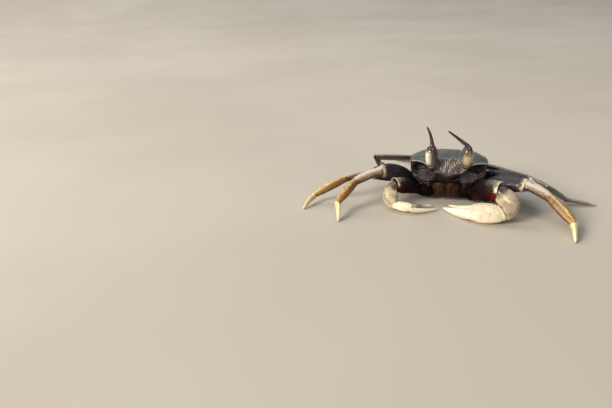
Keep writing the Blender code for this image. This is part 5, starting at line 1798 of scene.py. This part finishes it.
def jaw_rod(side, low, high):
    """The slim outer branch of the jaw foot."""
    t = np.linspace(0, 1, ROD_ROWS)
    path = np.stack([side * (8.9 - 0.5 * t * t), high[1] + 0.4 - 0.3 * np.sin(3 * t),
                     low[2] + 0.5 + 8.2 * t], -1)
    rod = rope(path + np.array((HOME[0], MOUTH_SET_BACK, 0.0)), 0.5 * (1 - 0.35 * t))
    rod["tags"]["across"] = np.full(len(rod["points"]), 0.85)
    return rod


def palp(side, high):
    """The small jointed feeler that hangs over the inner top corner of the jaw foot."""
    joints = np.array(PALP_JOINTS) * np.array((side, 1.0, 1.0))
    joints = joints + np.array((HOME[0], high[1] + MOUTH_SET_BACK, high[2]))
    shapes = []
    for a, b, size in zip(joints, joints[1:], PALP_SIZES):
        way = unit(b - a)
        up = unit(np.cross(way, (side, 0.0, 0.2)))
        radii = (size, size * 0.8, np.linalg.norm(b - a) * 0.62)
        shapes.append(lump((a + b) / 2, radii, (up, np.cross(way, up), way)))
    shape = joined(shapes)
    count = len(shape["points"])
    shape["tags"] = dict(across=np.full(count, 0.3), along=np.full(count, 0.8))
    return shape


def spike(node, root, kind, stations, swell):
    """The rings and tags of a rod that ends in a point; swell(t) is the share added to its size."""
    form = measure(node, root, far_cap(node, root.mean(0), len(root)), stations=stations)
    t, r, along = profile(kind, form["length"])
    grid, offset, way = ring_points(form, kind, t, r * (1 + swell(t)))
    return grid, offset, limb_tags(kind, offset, way, along)


def make_antenna(node, finishes):
    points = corners(node)
    root = points[np.argsort(np.abs(points[:, 0] - HOME[0]))[:6]]
    grid, _, tags = spike(node, root, ANTENNA, (0.3, 0.6), lambda t: 0.13 * np.cos(t * 2 * math.pi * 4))
    shape = tube(grid, along=tags["along"], across=0.5)
    make(node + "_shell", shape, finishes["mouth"], (node,))


def make_mouth(finishes):
    for name, side in SIDES.items():
        node = "mouthpart_" + name
        low, high = box_corners(node)
        plate = jaw_foot(side, low, high)
        jaw = joined([plate, jaw_rod(side, low, high), palp(side, high)])
        make(node + "_plate", jaw, finishes["mouth"], (node,))
        scatter(node + "_fringe", unwrapped([plate]), "hair", finishes["bristle"], spacing=0.3,
                smallest=0.5, largest=1.1, seed=301 + side)
        make_antenna("antenna_" + name, finishes)


# ---------------- eyes

EYE_WIDTH, EYE_DEPTH = 6.9, 6.1
EYE_SINK = 3.4  # how far the foot of a stalk turns back into the orbit
EYE_SECTION = ((-0.18, 0.34), (0.0, 0.72), (0.15, 0.86), (0.45, 1.0), (0.8, 0.92), (0.93, 0.8), (1.0, 0.55))
CORNEA_FROM, CORNEA_TO = 0.12, 0.88
CORNEA_ARC = math.radians(104)
CORNEA_ROWS, CORNEA_PLACES = 72, 84
STALK_ROWS, STALK_SIDES = 96, 72
HORN = dict(LIMB_KINDS["dactyl"], rows=90, sides=32, tuck=1.0, nose=0.7, flutes=5, flute=0.05)
# knobs on a stalk's top: where round it in degrees, how far out, half width and half height
KNOBS = {"right": ((35, 0.95, 0.7, 0.9), (150, 0.8, 0.8, 0.7), (215, 0.9, 0.6, 0.5), (300, 0.8, 0.7, 0.6)),
         "left": ((-75, 0.7, 0.45, 1.3), (20, 0.9, 0.7, 0.6), (120, 0.9, 0.8, 0.8), (200, 0.8, 0.7, 0.7))}


def eye_axes(name):
    """Base, top and length of an eye, and the ways up it, towards its cornea, and across."""
    points = corners("eyestalk_" + name)
    order = np.argsort(points[:, 2])
    base, top = points[order[:RING_CORNERS]].mean(0), points[order[-RING_CORNERS:]].mean(0)
    axis = unit(top - base)
    out = corners("cornea_" + name).mean(0) - base
    out = unit(out - axis * (out @ axis))
    return base, top, axis, out, np.cross(axis, out)


def eye_line(name, t):
    """The middle of the eye at heights t; its foot turns back into the orbit."""
    base, top = eye_axes(name)[:2]
    line = base + (top - base) * t[:, None]
    line[:, 1] += EYE_SINK * smooth((0.12 - t) / 0.3)
    return line[:, None]


def eye_grid(name, t, angle, grow):
    """Points on the eye at heights t and angles from the way that the cornea faces, grown outward by mm."""
    out, across = eye_axes(name)[3:]
    width = through(EYE_SECTION, t)[:, None]
    a, b = EYE_WIDTH / 2 * width + grow, EYE_DEPTH / 2 * width + grow
    a, b = (a * np.cos(angle))[..., None], (b * np.sin(angle))[..., None]
    return eye_line(name, t) + out * a + across * b


def stalk_grid(name, t, shrink):
    """The stalk's skin, hollowed where the cornea sits, with a lip round it and a rough top."""
    angle = section_angles(STALK_SIDES)[None]
    turned = np.abs((angle + math.pi) % (2 * math.pi) - math.pi)
    bed = smooth((CORNEA_ARC + 0.05 - turned) / 0.2)
    bed = bed * between(t, CORNEA_FROM - 0.02, CORNEA_TO + 0.02, 0.05)[:, None]
    lip = hump(turned, CORNEA_ARC + 0.12, 0.14) * between(t, 0.1, 0.9, 0.08)[:, None]
    grid = eye_grid(name, t, angle, 0.16 * lip - 0.45 * bed)
    offset = grid - eye_line(name, t)
    rough = ripple(grid, 1.5, seed=31 + SIDES[name]) * (0.05 + 0.2 * ease(t, 0.84, 0.1))[:, None]
    return eye_line(name, t) + (offset + unit(offset) * rough[..., None]) * shrink


def make_stalk(name, finishes):
    base, top, axis, out, across = eye_axes(name)
    bend = np.linspace(0, math.pi / 2, 8)[1:]
    t = np.concatenate([np.linspace(-0.18, 0.95, STALK_ROWS), 0.95 + 0.075 * np.sin(bend)])
    shrink = np.concatenate([np.ones(STALK_ROWS), np.cos(bend * 0.96)])[:, None, None]
    shapes = [tube(stalk_grid(name, t, shrink), along=np.clip(t, 0, 1)[:, None])]
    for turn, away, size, height in KNOBS[name]:
        way = out * math.cos(math.radians(turn)) + across * math.sin(math.radians(turn))
        place = base + (top - base) * 0.965 + way * (EYE_WIDTH / 2 * 0.62 * away)
        knob = lump(place, (size, size, height), (way, np.cross(axis, way), unit(axis + way * 0.35)))
        knob["tags"] = dict(along=np.ones(len(knob["points"])))
        shapes.append(knob)
    node = "eyestalk_" + name
    make(node + "_shell", joined(shapes), finishes["stalk"], (node,))


def make_cornea(name, finishes):
    """A dome that swells from its edges, closed by a wall inside the stalk."""
    rows = np.linspace(CORNEA_FROM, CORNEA_TO, CORNEA_ROWS)
    arc = np.linspace(-CORNEA_ARC, CORNEA_ARC, CORNEA_PLACES)
    level = 2 * (rows - CORNEA_FROM) / (CORNEA_TO - CORNEA_FROM) - 1
    swell_up, swell_round = (np.sqrt(np.clip(1 - v ** 4, 0, 1)) for v in (level, arc / CORNEA_ARC))
    swell = swell_up[:, None] * swell_round
    wall = arc[::-1][4:-4:4]
    grid = np.concatenate([eye_grid(name, rows, arc[None], 0.75 * swell - 0.4),
                           eye_grid(name, rows, wall[None] * 0.97, -1.2)], 1)
    turn = 0.5 + 0.25 * np.concatenate([arc, wall]) / CORNEA_ARC
    node = "cornea_" + name
    dome = tube(grid, along=((level + 1) / 2)[:, None], turn=turn)
    make(node + "_dome", dome, finishes[node], (node,))


def make_horn(name, finishes):
    node = "horn_" + name
    root = nearest(corners(node), eye_axes(name)[1], 8)
    grid, offset, tags = spike(node, root, HORN, (0.2, 0.4, 0.6, 0.8), lambda t: 0.22 * hump(t, 0.0, 0.07))
    grid = grid + unit(offset) * ripple(grid, 1.6, seed=41)[..., None] * 0.05
    make(node + "_shell", tube(grid, **tags), finishes["horn"], (node,))


# ---------------- floor, light and camera

CAMERA_FROM_BODY = (-0.8, -297.5, 127.1)
CAMERA_TURN, CAMERA_PITCH, CAMERA_ROLL = 18.0, 25.0, -3.26
CAMERA_LENS = 27.65
SENSOR_WIDTH, NEAREST_SEEN = 36.0, 0.005
FLOOR_FLAT, FLOOR_EDGE, FLOOR_HIGH = 1.6, 6.5, 1.9
FLOOR_SIDES = 96
LIGHT_REACH = 2.4  # how many times farther off, and larger, than it is written every lamp stands
LIGHTS = {
    "key": dict(
        place=(-0.66, -0.6, 0.5), aim=(0, 0, 0.01), size=0.42, power=11.0, colour=(1.0, 0.9, 0.76)),
    "sky": dict(place=(-0.2, 0.55, 1.0), aim=(0, 0, 0.01), size=1.2, power=4.3, colour=(0.94, 0.96, 1.0)),
    "edge": dict(
        place=(-0.88, 0.5, 0.84), aim=(0, 0, 0.02), size=0.55, power=4.6, colour=(1.0, 0.95, 0.88)),
    "fill": dict(place=(0.5, -0.8, 0.5), aim=(0, 0, 0.02), size=0.8, power=1.0, colour=(1.0, 0.97, 0.94)),
}
WORLD_COLOUR, WORLD_STRENGTH = (0.90, 0.93, 1.0, 1.0), 0.26


def floor_finish():
    f = Finish("pale_floor", 0.6, Specular_IOR_Level=0.3)
    f.colour(f.mix(f.span(f.noise(420.0, 3.0), 0.35, 0.65), (196, 190, 178), (188, 181, 168)))
    f.cloudy_rough(60.0, 0.55, 0.7)
    return f.material


def make_floor():
    """A pale floor that rises gently far away on every side."""
    radius = np.concatenate([[0.05, 0.3, 0.8], np.linspace(FLOOR_FLAT, FLOOR_EDGE, 24)])[:, None]
    height = FLOOR_HIGH * smooth((radius - FLOOR_FLAT) / (FLOOR_EDGE - FLOOR_FLAT))
    angle = section_angles(FLOOR_SIDES)
    grid = np.stack([radius * np.cos(angle), radius * np.sin(angle), height + 0 * angle], -1)
    index = np.arange(grid[..., 0].size).reshape(grid.shape[:2])
    a, b = index[:-1], index[1:]
    faces = np.stack([a, b, np.roll(b, -1, 1), np.roll(a, -1, 1)], -1).reshape(-1, 4)
    mesh = bpy.data.meshes.new("floor")
    mesh.from_pydata(grid.reshape(-1, 3).tolist(), [], faces.tolist() + [index[0].tolist()])
    mesh.polygons.foreach_set("use_smooth", np.ones(len(mesh.polygons), bool))
    mesh.materials.append(floor_finish())
    show("floor", mesh)


def add_light(name, place, aim, size, power, colour):
    light = bpy.data.lights.new(name, "AREA")
    light.shape = "DISK"
    light.size, light.energy, light.color = size * LIGHT_REACH, power * LIGHT_REACH ** 2, colour
    lamp = show(name, light)
    lamp.location = Vector(place) * LIGHT_REACH
    lamp.rotation_euler = (Vector(aim) - lamp.location).to_track_quat("-Z", "Y").to_euler()


def make_light():
    for name, lamp in LIGHTS.items():
        add_light(name, **lamp)
    world = bpy.data.worlds.new("studio")
    world.use_nodes = True
    sky = world.node_tree.nodes["Background"].inputs
    sky["Color"].default_value, sky["Strength"].default_value = WORLD_COLOUR, WORLD_STRENGTH
    bpy.context.scene.world = world


def make_camera():
    turn, pitch, roll = (math.radians(v) for v in (CAMERA_TURN, CAMERA_PITCH, CAMERA_ROLL))
    ahead = Vector((-math.sin(turn) * math.cos(pitch), math.cos(turn) * math.cos(pitch), -math.sin(pitch)))
    right = Vector((math.cos(turn), math.sin(turn), 0))
    up = right.cross(ahead)
    level_right = math.cos(roll) * right + math.sin(roll) * up
    level_up = math.cos(roll) * up - math.sin(roll) * right
    stand = Matrix((level_right, level_up, -ahead)).transposed().to_4x4()
    stand.translation = (Vector(CAMERA_FROM_BODY) + Vector(HOME)) * MM
    camera = bpy.data.cameras.new("camera")
    camera.sensor_width, camera.lens, camera.clip_start = SENSOR_WIDTH, CAMERA_LENS, NEAREST_SEEN
    viewer = show("camera", camera)
    viewer.matrix_world = stand
    bpy.context.scene.camera = viewer


finishes = make_finishes()
make_body(finishes)
make_sternum(finishes)
make_tail_flap(finishes)
make_mouth(finishes)
for eye_name in SIDES:
    make_stalk(eye_name, finishes)
    make_cornea(eye_name, finishes)
    make_horn(eye_name, finishes)
for leg_name in LEG_NAMES:
    make_leg(leg_name, finishes)
for claw_name in CLAW_LOOKS:
    make_claw(claw_name, finishes)
make_floor()
make_light()
make_camera()
bpy.context.scene.view_settings.view_transform = "Standard"
